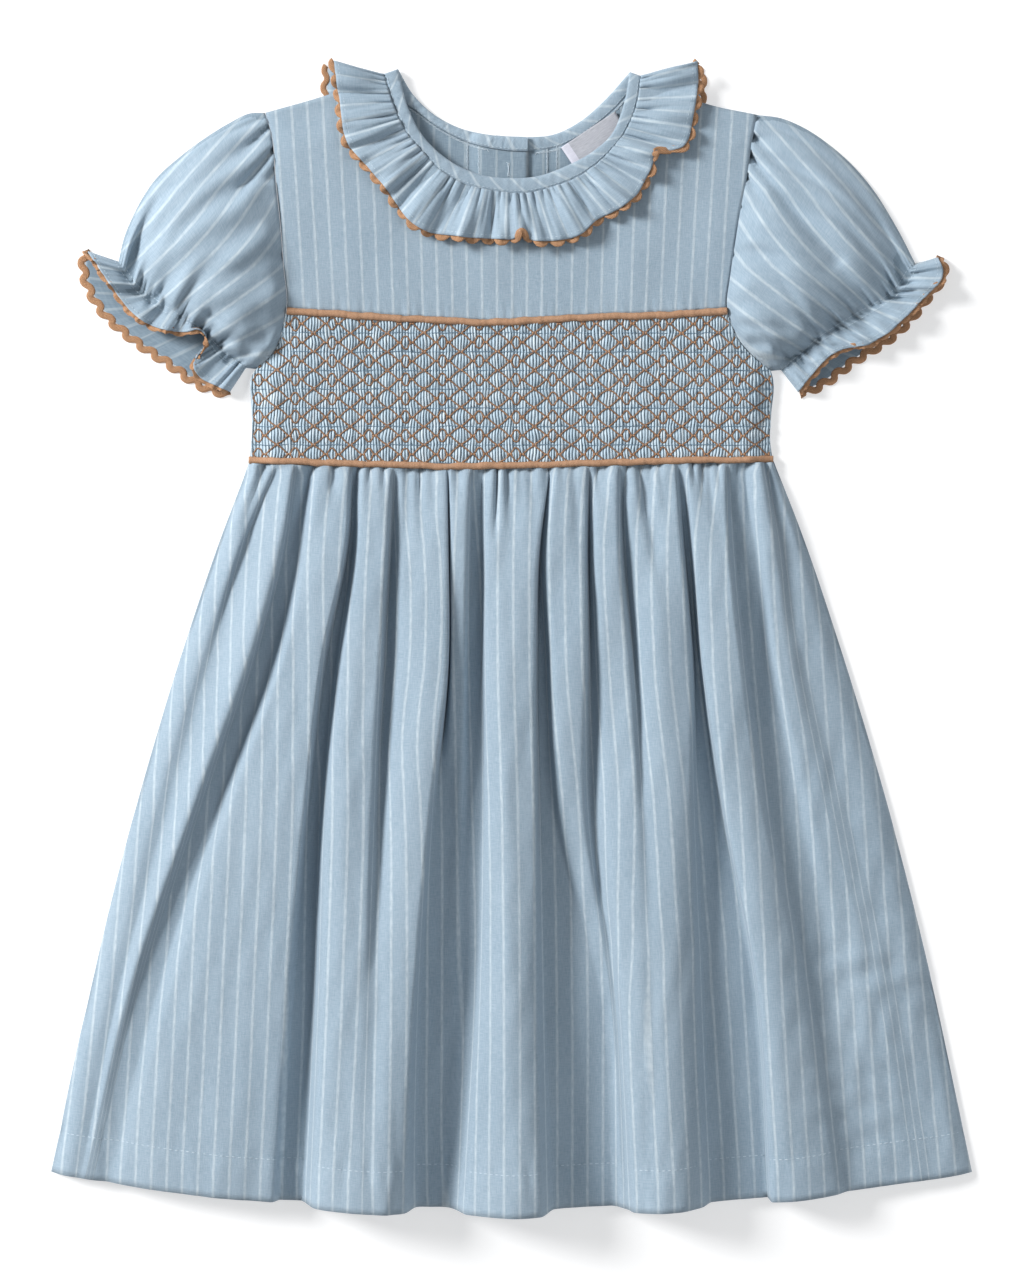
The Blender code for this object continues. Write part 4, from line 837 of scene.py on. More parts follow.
def mesh_object(name: str, points: np.ndarray, faces: np.ndarray, uvs: np.ndarray,
                material: bpy.types.Material) -> bpy.types.Object:
    """A smooth-shaded mesh with the cloth's map.

    Args:
        name: the object's name.
        points: its points in millimetres as drawn.
        faces: four corners a face.
        uvs: the map at each face corner, in millimetres.
        material: its finish.

    Returns:
        The new object, linked to the scene.
    """
    mesh = bpy.data.meshes.new(name)
    mesh.from_pydata(settled(points).tolist(), [], faces.tolist())
    layer = mesh.uv_layers.new(name="cloth")
    layer.data.foreach_set("uv", (uvs.reshape(-1) * MM).astype(np.float32))
    mesh.polygons.foreach_set("use_smooth", [True] * len(mesh.polygons))
    mesh.materials.append(material)
    made = bpy.data.objects.new(name, mesh)
    bpy.context.scene.collection.objects.link(made)
    return made


def quads(u: np.ndarray, v: np.ndarray, size: tuple[int, int],
          wrapped: tuple[bool, bool]) -> tuple[np.ndarray, np.ndarray]:
    """The four-cornered faces of a grid of points.

    Args:
        u, v: the map at each point, with one more row or column where the grid is wrapped.
        size: how many rows and columns of points it has.
        wrapped: whether the last row joins the first, and the last column the first.

    Returns:
        The faces' corners, and the map at each of them.
    """
    counts = [count if wrap else count - 1 for count, wrap in zip(size, wrapped)]
    row, column = np.meshgrid(*(np.arange(count) for count in counts), indexing="ij")
    corners = ((row, column), (row + 1, column), (row + 1, column + 1), (row, column + 1))
    faces = np.stack([r % size[0] * size[1] + c % size[1] for r, c in corners], axis=-1).reshape(-1, 4)
    uvs = np.stack([np.stack([u[r, c], v[r, c]], axis=-1) for r, c in corners], axis=-2)
    return faces, uvs.reshape(-1, 4, 2)


def grid_object(name: str, x: np.ndarray, y: np.ndarray, z: np.ndarray, u: np.ndarray, v: np.ndarray,
                material: bpy.types.Material, closed: bool = False, turned: bool = False) -> bpy.types.Object:
    """A grid of faces, rows down and columns right, facing up.

    Args:
        name: the object's name.
        x, y, z: the points.
        u, v: the map at each point, with one more column where the grid is closed.
        material: its finish.
        closed: whether the last column joins the first.
        turned: whether the faces are turned over.

    Returns:
        The new object.
    """
    faces, uvs = quads(u, v, x.shape, (False, closed))
    if turned:
        faces, uvs = faces[:, ::-1], uvs[:, ::-1]
    return mesh_object(name, np.stack([x, y, z], axis=-1), faces, uvs, material)


def baked(made: bpy.types.Object) -> bpy.types.Object:
    """Apply an object's modifiers."""
    graph = bpy.context.evaluated_depsgraph_get()
    mesh = bpy.data.meshes.new_from_object(made.evaluated_get(graph))
    made.modifiers.clear()
    made.data = mesh
    mesh.name = made.name
    return made


def walled(made: bpy.types.Object, wall: float = CLOTH_WALL, offset: float = 1.0) -> None:
    """Give a sheet its thickness.

    Args:
        made: the sheet.
        wall: its thickness in millimetres.
        offset: the side that it grows to, 1 for its face and -1 for its back.
    """
    solidify = made.modifiers.new("Wall", "SOLIDIFY")
    solidify.thickness = wall * MM
    solidify.offset = offset
    baked(made)


def placed(made: bpy.types.Object, slot: str, *nodes: str) -> None:
    """Set a finished piece on the garment.

    Args:
        made: the piece.
        slot: its slot of finish; not used.
        nodes: the solids that it takes the place of, none for thread.
    """
    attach(made, "root")
    if nodes:
        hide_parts(*nodes)
    log.info("%s: %d faces", made.name, len(made.data.polygons))


@dataclass
class Skirt:
    """The gathered front skirt and the flat back skirt behind it."""

    rows: int = 136
    columns: int = 350
    length: float = 371.0
    hem_middle: float = -282.0
    hem_rise: float = 16.5
    hem_half: float = 230.0
    hem_depth: float = 21.0
    flare: float = 0.2
    gathers: int = 26
    gather_depth: float = 0.9
    seam_height: float = 7.4
    crumpled_at: tuple[float, float] = (178.0, 285.0)
    crumpled_half: tuple[float, float] = (32.0, 75.0)
    back_half: float = 236.0
    back_length: float = 370.0
    back_hem_row: int = 66
    seed: int = 11

    def hem_y(self, x: np.ndarray) -> np.ndarray:
        """The hem's shallow arc."""
        return self.hem_middle + self.hem_rise * (x / self.hem_half) ** 2

    def fold_field(self, down: np.ndarray) -> tuple[np.ndarray, np.ndarray, np.ndarray]:
        """Shape the folds.

        Args:
            down: shares of the way from the waist to the hem.

        Returns:
            Place across and height of each point, and the place in the flat cloth of each point.
        """
        across = np.stack([hermite(FOLD_LEVELS, line.across, down) for line in SKIRT_LINES])
        height = np.stack([hermite(FOLD_LEVELS, line.height, down) for line in SKIRT_LINES])
        runs = np.hypot(np.diff(across, axis=0), 0.8 * np.diff(height, axis=0)).mean(axis=1)
        counts = np.maximum(4, np.round(self.columns * runs / runs.sum()).astype(int))
        steps = [span + np.arange(count) / count for span, count in enumerate(counts)]
        steps = np.concatenate(steps + [[len(counts)]])
        lines = np.arange(len(SKIRT_LINES))
        x = np.stack([np.interp(steps, lines, across[:, row]) for row in range(len(down))])
        z = np.stack([rounded(across[:, row], height[:, row], x[row]) for row in range(len(down))])
        return x, np.maximum(z, SIDE_LIFT), self.cloth_places(x, z, np.cumsum(counts), down)

    def cloth_places(self, x: np.ndarray, z: np.ndarray, starts: np.ndarray, down: np.ndarray) -> np.ndarray:
        """Where in the flared flat cloth each point lies, with the spare cloth taken up in the folds.

        Args:
            x: place across of each point.
            z: its height.
            starts: the column at which each line past the first begins.
            down: shares of the way from the waist to the hem.

        Returns:
            The place in the flat cloth, 0 at the middle line.
        """
        cloth = np.hypot(np.diff(x, axis=1), np.diff(z, axis=1))
        middle = int(starts[SKIRT_MIDDLE - 1])
        draw_in = 1 - self.flare * (1 - down)
        steep = [index for index, line in enumerate(SKIRT_LINES) if line.edge]
        spans = [(int(starts[index - 1]), int(starts[index])) for index in steep]
        for outward in (1, -1):
            hem = np.cumsum(cloth[-1, middle:] if outward > 0 else cloth[-1, :middle][::-1])
            share = hem[-1] / (outward * x[-1, -1 if outward > 0 else 0])
            so_far, reached = np.zeros(len(x)), middle
            for first, last in [span for span in spans if (span[0] >= middle) == (outward > 0)][::outward]:
                near, far = (first, last) if outward > 0 else (last, first)
                so_far = so_far + cloth[:, min(reached, near) : max(reached, near)].sum(axis=1)
                own = cloth[:, first:last].sum(axis=1)
                wanted = share * outward * (x[:, far] - x[:, middle]) / draw_in - so_far
                factor = evened(np.clip(wanted / own, 0.2, 6), 6, "edge")
                cloth[:, first:last] *= factor[:, None]
                so_far, reached = so_far + own * factor, far
        places = np.concatenate([np.zeros((len(x), 1)), np.cumsum(cloth, axis=1)], axis=1)
        return places - places[:, middle : middle + 1]

    def waist_gathers(self, cloth_at: np.ndarray, below: np.ndarray) -> np.ndarray:
        """Uneven creases that run down from the waist seam and fade.

        Args:
            cloth_at: place of each column along the seam.
            below: distance of each row below the seam.

        Returns:
            The height to add at each row and column.
        """
        draw = np.random.default_rng(self.seed)
        total = np.zeros((len(below), len(cloth_at)))
        steps = (np.arange(self.gathers) + draw.uniform(0.15, 0.85, self.gathers)) / self.gathers
        places = cloth_at[0] + steps * (cloth_at[-1] - cloth_at[0])
        for place in places:
            width = draw.uniform(1.5, 3.2)
            length = draw.uniform(12, 48)
            depth = self.gather_depth * draw.uniform(0.5, 1.25)
            drift = draw.uniform(-0.05, 0.05) * below[:, None]
            widening = 1 + below[:, None] / 30
            crease = np.exp(-(((cloth_at - place - drift) / (width * widening)) ** 2))
            total -= depth * crease * np.exp(-((below[:, None] / length) ** 1.4))
        return total

    def front(self, wardrobe: Wardrobe) -> None:
        """Build the front skirt with its turned and stitched hem."""
        down = np.linspace(0, 1, self.rows) ** 1.3
        x, z, cloth_at = self.fold_field(down)
        top = y_at(PIPING_BOTTOM, x[0]) - PIPING_BOTTOM_RADIUS - GAP
        below = (down * self.length)[:, None]
        z = z + self.waist_gathers(x[0], below[:, 0])
        z = z + (self.seam_height - z) * 0.85 * np.exp(-((below / 3.0) ** 2))
        z = z + 0.5 * Rumple(21, 60.0, 190.0)(x, below) * smooth(below / 60)
        z = z + 0.14 * Rumple(22, 17.0, 60.0)(x, below)
        off_across = (x - self.crumpled_at[0]) / self.crumpled_half[0]
        off_down = (below - self.crumpled_at[1]) / self.crumpled_half[1]
        z = z + 0.8 * Rumple(23, 26.0, 22.0)(x, below) * np.exp(-(off_across**2 + off_down**2))
        to_hem = self.length - below
        turned = smooth((self.hem_depth + 0.8 - to_hem) / 1.6)
        pucker = Rumple(24, 9.0, 60.0)(x, below)
        z = z + 0.35 * turned + 0.22 * pucker * np.exp(-(((to_hem - self.hem_depth) / 7.0) ** 2))
        z = z - 0.3 * np.exp(-(((to_hem - self.hem_depth) / 1.1) ** 2))
        edge = np.minimum(np.arange(x.shape[1]), np.arange(x.shape[1])[::-1])
        z = np.where(edge < 3, np.minimum(z, SIDE_LIFT + 1.2 * edge), z)
        bottom = self.hem_y(x[-1]) / (1 - z[-1] * LEAN_IN)
        y = top + (bottom - top) * down[:, None]
        for gather in WAIST_GATHERS:
            low = gather.across + gather.drift * gather.run
            path = ((gather.across, WAIST_UP), (low, WAIST_UP - gather.run))
            wide = (gather.wide * 1.15, gather.wide * 2.0)
            z = z + Hollow(path, wide, (gather.deep * 1.7, 0.2), gather.softer)(x, y)
        z = np.maximum(z, SIDE_LIFT)
        made = grid_object("skirt_front", x, y, z, cloth_at + Chambray.pitch / MM / 2,
                           np.broadcast_to(below, x.shape), wardrobe.chambray)
        walled(made)
        placed(made, "cloth", "front_skirt")
        hem_row = int(np.argmin(np.abs(to_hem - self.hem_depth)))
        line = np.stack([x[hem_row], y[hem_row], z[hem_row] + CLOTH_WALL + 0.08], axis=-1)
        self.hem_stitches("stitches_hem_front", line, wardrobe)

    def hem_stitches(self, name: str, line: np.ndarray, wardrobe: Wardrobe) -> None:
        """Lay the row of stitches that holds the hem's turn, short of its two ends."""
        placed(wardrobe.stitches.lay(name, [line[2:-2]], wardrobe.sewing_thread, *HEM_STITCHING), "cloth")

    def back(self, wardrobe: Wardrobe) -> None:
        """Build the back skirt, flat but for a few low folds."""
        down = np.linspace(0, 1, 70)
        shares = np.linspace(-1, 1, 150)
        half = hermite(FOLD_LEVELS, SKIRT_LINES[-1].across, down)[:, None]
        x = half * shares
        lift = sum(fold.height * np.exp(-((x - fold.share * half) / fold.wide) ** 2) for fold in BACK_FOLDS)
        z = np.maximum(lift * smooth((down[:, None] + 0.3) * 2) - 0.35, 0)
        top = y_at(PIPING_BOTTOM, x[0]) - 0.5
        bottom = self.hem_y(x[-1]) + 1.0
        y = top + (bottom - top) * down[:, None]
        u = np.broadcast_to(shares * self.back_half, x.shape)
        v = np.broadcast_to(down[:, None] * self.back_length, x.shape)
        made = grid_object("skirt_back", x, y, z, u, v, wardrobe.chambray)
        walled(made)
        placed(made, "cloth", "back_skirt")
        hem_row = self.back_hem_row
        line = np.stack([x[hem_row], y[hem_row], z[hem_row] + CLOTH_WALL + 0.05], axis=-1)
        self.hem_stitches("stitches_hem_back", line, wardrobe)


@dataclass
class SmockedBand:
    """The smocked front panel: fine pleats, held by crossing brown threads."""

    pleats: int = 168
    steps_a_pleat: int = 5
    rows: int = 56
    pleat_pitch: float = 1.56
    pleat_depth: float = 1.2
    across: float = 18.4
    down: float = 9.32
    first_middle: tuple[float, float] = (-7.2, 148.8)
    thread_radius: float = 0.4
    gather_radius: float = 0.17
    knot_share: float = 0.333
    o_half: float = 3.2

    def zigzag(self, x: np.ndarray) -> np.ndarray:
        """How far the thread of a row swings from the row's middle at x."""
        phase = np.abs((x - self.first_middle[0] + self.across / 2) % self.across - self.across / 2)
        phase = phase / self.across * 2
        half = self.down / 2 - 0.2
        return np.interp(phase, (0, 0.05, 0.3, 0.45, 0.6, 0.73, 0.8, 0.9, 1.0),
                         (half, half - 0.15, 2.75, 1.45, 0.12, 0.12, 1.3, self.o_half - 0.35, self.o_half))

    def middles(self) -> list[float]:
        """The heights up the garment of the rows of diamonds."""
        return [self.first_middle[1] + self.down * step for step in range(-8, 3)]

    def ground(self) -> tuple[np.ndarray, np.ndarray]:
        """The panel's places across and up, rows down."""
        v = np.linspace(0, 1, self.rows)[:, None]
        u = np.linspace(0, 1, self.pleats * self.steps_a_pleat + 1)[None, :]
        y = PIPING_TOP[0][1] + (PIPING_BOTTOM[0][1] - PIPING_TOP[0][1]) * v + 0 * u
        straight = PIPING_BOTTOM[0][0] + (PIPING_BOTTOM[-1][0] - PIPING_BOTTOM[0][0]) * u
        straight = straight + 0.25 * Rumple(31, 30.0, 14.0)(straight, y)
        for _ in range(4):
            x = np.clip(straight, side_left(y) + SEAM, side_right(y) - SEAM)
            top = y_at(PIPING_TOP, x) - PIPING_TOP_RADIUS * 0.7
            bottom = y_at(PIPING_BOTTOM, x) + PIPING_BOTTOM_RADIUS * 0.7
            y = top + (bottom - top) * v
        return x, y

    def nearness(self, x: np.ndarray, y: np.ndarray) -> np.ndarray:
        """Distance from each point to the nearest smocking thread."""
        swing = self.zigzag(x)
        nearest = np.full(x.shape, 99.0)
        for middle in self.middles():
            for way in (-1, 1):
                nearest = np.minimum(nearest, np.abs(y - middle - way * swing) * 0.75)
            nearest = np.minimum(nearest, np.abs(y - middle - self.down / 2) * 1.4 + 0.5)
        return nearest

    def height(self, x: np.ndarray, y: np.ndarray) -> np.ndarray:
        """How far the puffed and pleated cloth stands over the panel's inside."""
        near = self.nearness(x, y)
        puff = 1 - np.exp(-((near / 1.3) ** 2))
        step = np.arange(x.shape[1]) % self.steps_a_pleat
        pleat = np.sin(math.pi * step / self.steps_a_pleat) ** 0.6
        uneven = 1 + 0.3 * Rumple(32, 3.0, 9.0)(x, y)
        return 0.2 + 0.9 * puff + self.pleat_depth * (pleat - 0.35) * (0.5 + 0.5 * puff) * uneven

    def build(self, wardrobe: Wardrobe) -> None:
        """Build the pleated cloth and lay its threads."""
        x, y = self.ground()
        under = front_lift(x, y)
        z = under + CLOTH_WALL + self.height(x, y)
        at_side = np.abs(np.gradient(x, axis=1)) < 0.05
        z = np.where(at_side, under + CLOTH_WALL + 0.3, z)
        u = np.broadcast_to(np.arange(x.shape[1]) / self.steps_a_pleat * self.pleat_pitch, x.shape)
        made = grid_object("smocked_panel_front", x, y, z, u, -y, wardrobe.smocked_chambray)
        work = bmesh.new()
        work.from_mesh(made.data)
        bmesh.ops.remove_doubles(work, verts=work.verts, dist=0.00003)
        work.to_mesh(made.data)
        work.free()
        walled(made, 0.5, -1.0)
        placed(made, "smocked_cloth", "smocked_panel")
        cord, stitches = wardrobe.cord, wardrobe.stitches
        made = cord.lay("smocking_threads", self.thread_lines(), wardrobe.smocking_thread, self.thread_radius)
        placed(made, "smocked_cloth")
        made = stitches.lay("smocking_knots", self.knot_lines(), wardrobe.knot_thread, *KNOTS)
        placed(made, "smocked_cloth")
        made = cord.lay("gathering_threads", self.gather_lines(), wardrobe.gather_thread, self.gather_radius)
        placed(made, "smocked_cloth")

    def on_top(self, x: np.ndarray, y: np.ndarray, over: float) -> np.ndarray:
        """Points that lie over the cloth at x, y."""
        swell = 0.2 + 0.3 * self.pleat_depth + 0.16 * np.abs(np.cos(math.pi * x / self.pleat_pitch))
        return np.stack([x, y, front_lift(x, y) + CLOTH_WALL + swell + over], axis=-1)

    def kept(self, x: np.ndarray, y: np.ndarray, line: np.ndarray) -> list[np.ndarray]:
        """Cut a line where it leaves the panel.

        Args:
            x, y: where its points are, seen from above.
            line: the points themselves.

        Returns:
            The stretches of three points or more that lie inside.
        """
        inside = (x > side_left(y) + 0.5) & (x < side_right(y) - 0.5)
        inside &= y < y_at(PIPING_TOP, x) - PIPING_TOP_RADIUS * 0.8
        inside &= y > y_at(PIPING_BOTTOM, x) + PIPING_BOTTOM_RADIUS * 0.8
        found, start = [], None
        for index, keep in enumerate([*inside, False]):
            if keep and start is None:
                start = index
            elif not keep and start is not None:
                if index - start > 2:
                    found.append(line[start:index])
                start = None
        return found

    def thread_lines(self) -> list[np.ndarray]:
        """The brown threads, two to each row of diamonds."""
        lines = []
        draw = np.random.default_rng(34)
        for middle in self.middles():
            for way in (-1, 1):
                x = np.arange(-131.0, 131.0, 0.62)
                drift = 0.18 * Rumple(int(draw.integers(1000)), 14.0, 50.0)(x, 0 * x)
                y = middle + way * self.zigzag(x) + drift
                lines += self.kept(x, y, self.on_top(x, y, 0.22))
        return lines

    def knot_lines(self) -> list[np.ndarray]:
        """Short runs of thread where the smocking threads cross."""
        lines = []
        for column in range(-8, 9):
            knot = self.first_middle[0] + self.across * column
            for middle in self.middles():
                for x, y in ((knot, middle + self.down / 2), (knot + self.knot_share * self.across, middle),
                             (knot - self.knot_share * self.across, middle)):
                    x, y = x + np.linspace(-0.7, 0.7, 3), np.full(3, y)
                    lines += self.kept(x, y, self.on_top(x, y, 0.45))
        return lines

    def gather_lines(self) -> list[np.ndarray]:
        """The thin blue threads that the pleats are drawn up on."""
        lines = []
        for middle in self.middles():
            x = np.arange(-131.0, 131.0, 1.2)
            y = middle + self.down / 2 + 0.15 * Rumple(35, 20.0, 50.0)(x, 0 * x + middle)
            lines += self.kept(x, y, self.on_top(x, y, 0.55))
        return lines


@dataclass
class Bodice:
    """The plain front yoke and the two back halves."""

    finer: int = 5
    rows: int = 48

    def yoke(self, wardrobe: Wardrobe) -> None:
        """Build the front yoke."""
        shoulder = np.linspace(0, 1, 5 * self.finer + 1)
        neck = np.linspace(0, 1, 22 * self.finer + 1)
        top = np.concatenate([along(SHOULDER_LEFT, shoulder[:-1]), along(NECK_SEAM, neck),
                              along(SHOULDER_RIGHT, shoulder[1:])])
        base_x = np.linspace(PIPING_TOP[0][0], PIPING_TOP[-1][0], len(top))
        base = np.stack([base_x, y_at(PIPING_TOP, base_x) + PIPING_TOP_RADIUS * 0.7], axis=-1)
        v = np.linspace(0, 1, self.rows)[:, None, None]
        points = top + (base - top) * v
        share = np.linspace(0, 1, len(top))
        y = points[..., 1]
        left_off = side_left(y[:, :1]) + SEAM - points[:, :1, 0]
        right_off = side_right(y[:, -1:]) - SEAM - points[:, -1:, 0]
        x = points[..., 0] + left_off * (1 - share) ** 4 + right_off * share**4
        above = y - y_at(PIPING_TOP, x)
        z = front_lift(x, y) + 0.28 * Rumple(41, 45.0, 60.0)(x, y) + 0.3
        z = z + 0.3 * Rumple(42, 4.5, 60.0)(x, y) * np.exp(-((above / 7.0) ** 2))
        u = x * (1 + 0.0006 * (250.0 - y))
        made = grid_object("yoke_front", x, y, z, u, -y, wardrobe.chambray)
        walled(made)
        placed(made, "cloth", "front_yoke")

    def back(self, side: Side, wardrobe: Wardrobe) -> None:
        """Build one half of the back; the left one carries the inner placket strip."""
        inner = side is Side.LEFT
        if inner:
            shoulder, end_x = SHOULDER_LEFT, PLACKET_HALF
            placket = (-PLACKET_RAMP_END, -20.0, -PLACKET_RAMP_START, -3.0, end_x)
        else:
            shoulder, end_x = SHOULDER_RIGHT[::-1], -PLACKET_HALF
            placket = (PLACKET_RAMP_END, 20.0, PLACKET_RAMP_START, 3.0, end_x)
        neck_top, outer_top = shoulder[-1][0], shoulder[0][0]
        top_x = [outer_top + (neck_top - outer_top) * t for t in (0, 0.35, 0.7)]
        top_x += [neck_top + (placket[0] - neck_top) * t for t in (0, 0.08, 0.16, 0.32, 0.52, 0.76)]
        start = (SIDE_LEFT if inner else SIDE_RIGHT)[-1][0]
        steps = (0, 0.1, 0.25, 0.42, 0.48, 0.54, 0.64, 0.76, 0.88)
        bottom_x = [start + (placket[0] - start) * t for t in steps] + list(placket)
        at = np.linspace(0, 13, 13 * 5 + 1)
        top_x = np.interp(at, np.arange(14), top_x + list(placket))
        bottom_x = np.interp(at, np.arange(14), bottom_x)
        on_neck = np.abs(top_x) <= abs(neck_top) + 0.01
        neck_y = y_at(BACK_NECK_SEAM, np.clip(top_x, -64.0, 64.5))
        top_y = np.where(on_neck, neck_y, shoulder_y(top_x))
        bottom_y = y_at(PIPING_BOTTOM, bottom_x) + GAP
        v = np.linspace(0, 1, 54)[:, None]
        y = top_y + (bottom_y - top_y) * v
        x = top_x + (bottom_x - top_x) * v
        outline = side_left(y[:, :1]) + SEAM if inner else side_right(y[:, :1]) - SEAM
        x = x + (outline - x[:, :1]) * np.clip((x - placket[0]) / (x[:, :1] - placket[0]), 0, 1)
        z = back_lift(x, y, inner)
        if not inner:
            x, y, z = (values[:, ::-1] for values in (x, y, z))
        made = grid_object(f"bodice_back_{side.value}", x, y, z, x, -y, wardrobe.chambray)
        walled(made)
        # painted shade on the back's upward faces, seen inside the neck
        paint_inside_shade(made, wardrobe)
        self.facing_threads(side, wardrobe)
        placed(made, "cloth", f"back_bodice_{side.value}")

    def facing_threads(self, side: Side, wardrobe: Wardrobe) -> None:
        """Overlock the edges of the placket's facing and the neck seam, as seen from inside.

        Args:
            side: the half of the back; the left one has a bar of stitches at the placket too.
            wardrobe: the finishes.
        """
        inner = side is Side.LEFT
        first, last = (-22.3, -16.6) if inner else (17.6, 22.4)
        turn = np.arange(26)
        lines = []
        for place in (first, last):
            lines.append(np.column_stack([place + 0.8 * (turn % 2 - 0.5), 250.5 - turn * 0.9]))
        across = np.arange(12.0, 60.0, 0.85) * (-1 if inner else 1)
        seam = y_at(BACK_NECK_SEAM, across) - 1.6 + 0.9 * (np.arange(len(across)) % 2)
        lines.append(np.column_stack([across, seam]))
        if inner:
            lines.append(np.column_stack([-2.2 + 0.9 * (np.arange(14) % 2), 238.5 - np.arange(14) * 0.5]))
        laid = []
        for line in lines:
            laid.append(np.column_stack([line, back_lift(line[:, 0], line[:, 1], inner) + CLOTH_WALL + 0.12]))
        name = f"stitches_facing_{side.value}"
        placed(wardrobe.stitches.lay(name, laid, wardrobe.sewing_thread, *OVERLOCKING), "cloth")


def creases(across: np.ndarray, down: np.ndarray, places: np.ndarray, seed: int, width: tuple[float, float],
            length: tuple[float, float], depth: float, spread: float = 1.0) -> np.ndarray:
    """Uneven creases that start at a seam and fade away from it.

    Args:
        across: place of each column along the seam.
        down: distance of each row from the seam.
        places: where the creases start.
        seed: the seed of their widths, lengths and depths.
        width: least and greatest half width.
        length: least and greatest length.
        depth: their usual depth.
        spread: how much wider they are at their length than at the seam.

    Returns:
        The height to add at each row and column, none above zero.
    """
    draw = np.random.default_rng(seed)
    total = np.zeros((len(down), len(across)))
    for place in places:
        half, run = draw.uniform(*width), draw.uniform(*length)
        deep = depth * draw.uniform(0.55, 1.3)
        drift = draw.uniform(-0.08, 0.08) * down[:, None]
        half = half * (1 + (spread - 1) * down[:, None] / run)
        crease = np.exp(-(((across - place - drift) / half) ** 2))
        total -= deep * crease * np.exp(-((down[:, None] / run) ** 1.6))
    return total


def uneven_places(count: int, total: float, seed: int) -> np.ndarray:
    """Places at uneven steps along a seam of this length."""
    draw = np.random.default_rng(seed)
    return (np.arange(count) + draw.uniform(0.1, 0.9, count)) / count * total


@dataclass
class RicRac:
    """Zigzag braid that follows an edge, its scallops past it."""

    pitch: float = 8.7
    half_width: float = 1.9
    swing: float = 1.35
    thickness: float = 0.8
    steps_a_wave: int = 14
    profile: Points = ((-1, 0), (-0.86, 0.75), (-0.3, 1), (0.3, 1), (0.86, 0.75), (1, 0), (0.86, -0.75),
                       (-0.86, -0.75))

    def ribbon(self, name: str, edge: np.ndarray, outward: np.ndarray, upward: np.ndarray,
               reach: float | np.ndarray, wardrobe: Wardrobe, closed: bool = False,
               calm: float | np.ndarray = 1.0) -> bpy.types.Object:
        """Sweep the braid.

        Args:
            name: the object's name.
            edge: the points that it follows.
            outward: the way past the edge at each.
            upward: the way out of the braid's face at each.
            reach: how far past the edge the braid's middle runs.
            wardrobe: the finishes.
            closed: whether the last point joins the first.
            calm: a factor on the swing, one for the whole edge or one a point.

        Returns:
            The braid as a closed mesh.
        """
        reach, calm = (np.broadcast_to(value, len(edge)) for value in (reach, calm))
        if closed:
            runs = (edge, outward, upward, reach, calm)
            edge, outward, upward, reach, calm = (np.concatenate([run, run[:1]]) for run in runs)
        lengths = run_length(edge)
        waves = round(lengths[-1] / self.pitch)
        count = waves * self.steps_a_wave + 1
        at = np.linspace(0, lengths[-1], count)

        def read(run: np.ndarray) -> np.ndarray:
            """The run's three parts at each step."""
            return np.stack([np.interp(at, lengths, run[:, axis]) for axis in range(3)], axis=-1)

        place, way, up = read(edge), read(outward), read(upward)
        way /= np.linalg.norm(way, axis=1, keepdims=True)
        up /= np.linalg.norm(up, axis=1, keepdims=True)
        phase = at / lengths[-1] * waves * 2 * math.pi
        swing = np.sin(phase) + 0.12 * np.sin(3 * phase)
        past = np.interp(at, lengths, reach) + self.swing * np.interp(at, lengths, calm) * swing
        middle = place + way * past[:, None]
        ahead = np.gradient(middle, axis=0)
        ahead /= np.linalg.norm(ahead, axis=1, keepdims=True)
        beside = np.cross(up, ahead)
        beside *= np.sign(np.sum(beside * way, axis=1, keepdims=True))
        ring = [middle + beside * a * self.half_width + up * b * self.thickness / 2 for a, b in self.profile]
        points = np.stack(ring + ring[:1], axis=1)
        if closed:
            points = points[:-1]
        u = np.broadcast_to(at[: len(points) + closed, None], (len(points) + closed, len(ring) + 1))
        v = np.broadcast_to(np.array([a for a, _ in self.profile] + [-1]) * self.half_width, u.shape)
        return tube(name, points[:, :-1], u, v, wardrobe.braid, closed)


def tube(name: str, rings: np.ndarray, u: np.ndarray, v: np.ndarray, material: bpy.types.Material,
         closed: bool = False) -> bpy.types.Object:
    """A closed tube through rings of points.

    Args:
        name: the object's name.
        rings: the points, one ring a row.
        u, v: the map, one more column than the rings, and one more row where the tube is closed.
        material: its finish.
        closed: whether the last ring joins the first; otherwise the ends are capped.

    Returns:
        The new object, its faces outward.
    """
    count, corners, _ = rings.shape
    faces, uvs = quads(u, v, (count, corners), (closed, True))
    made = mesh_object(name, rings, faces, uvs, material)
    work = bmesh.new()
    work.from_mesh(made.data)
    if not closed:
        work.verts.ensure_lookup_table()
        work.faces.new([work.verts[index] for index in range(corners)])
        work.faces.new([work.verts[(count - 1) * corners + index] for index in range(corners)])
    bmesh.ops.recalc_face_normals(work, faces=work.faces)
    work.to_mesh(made.data)
    work.free()
    return made


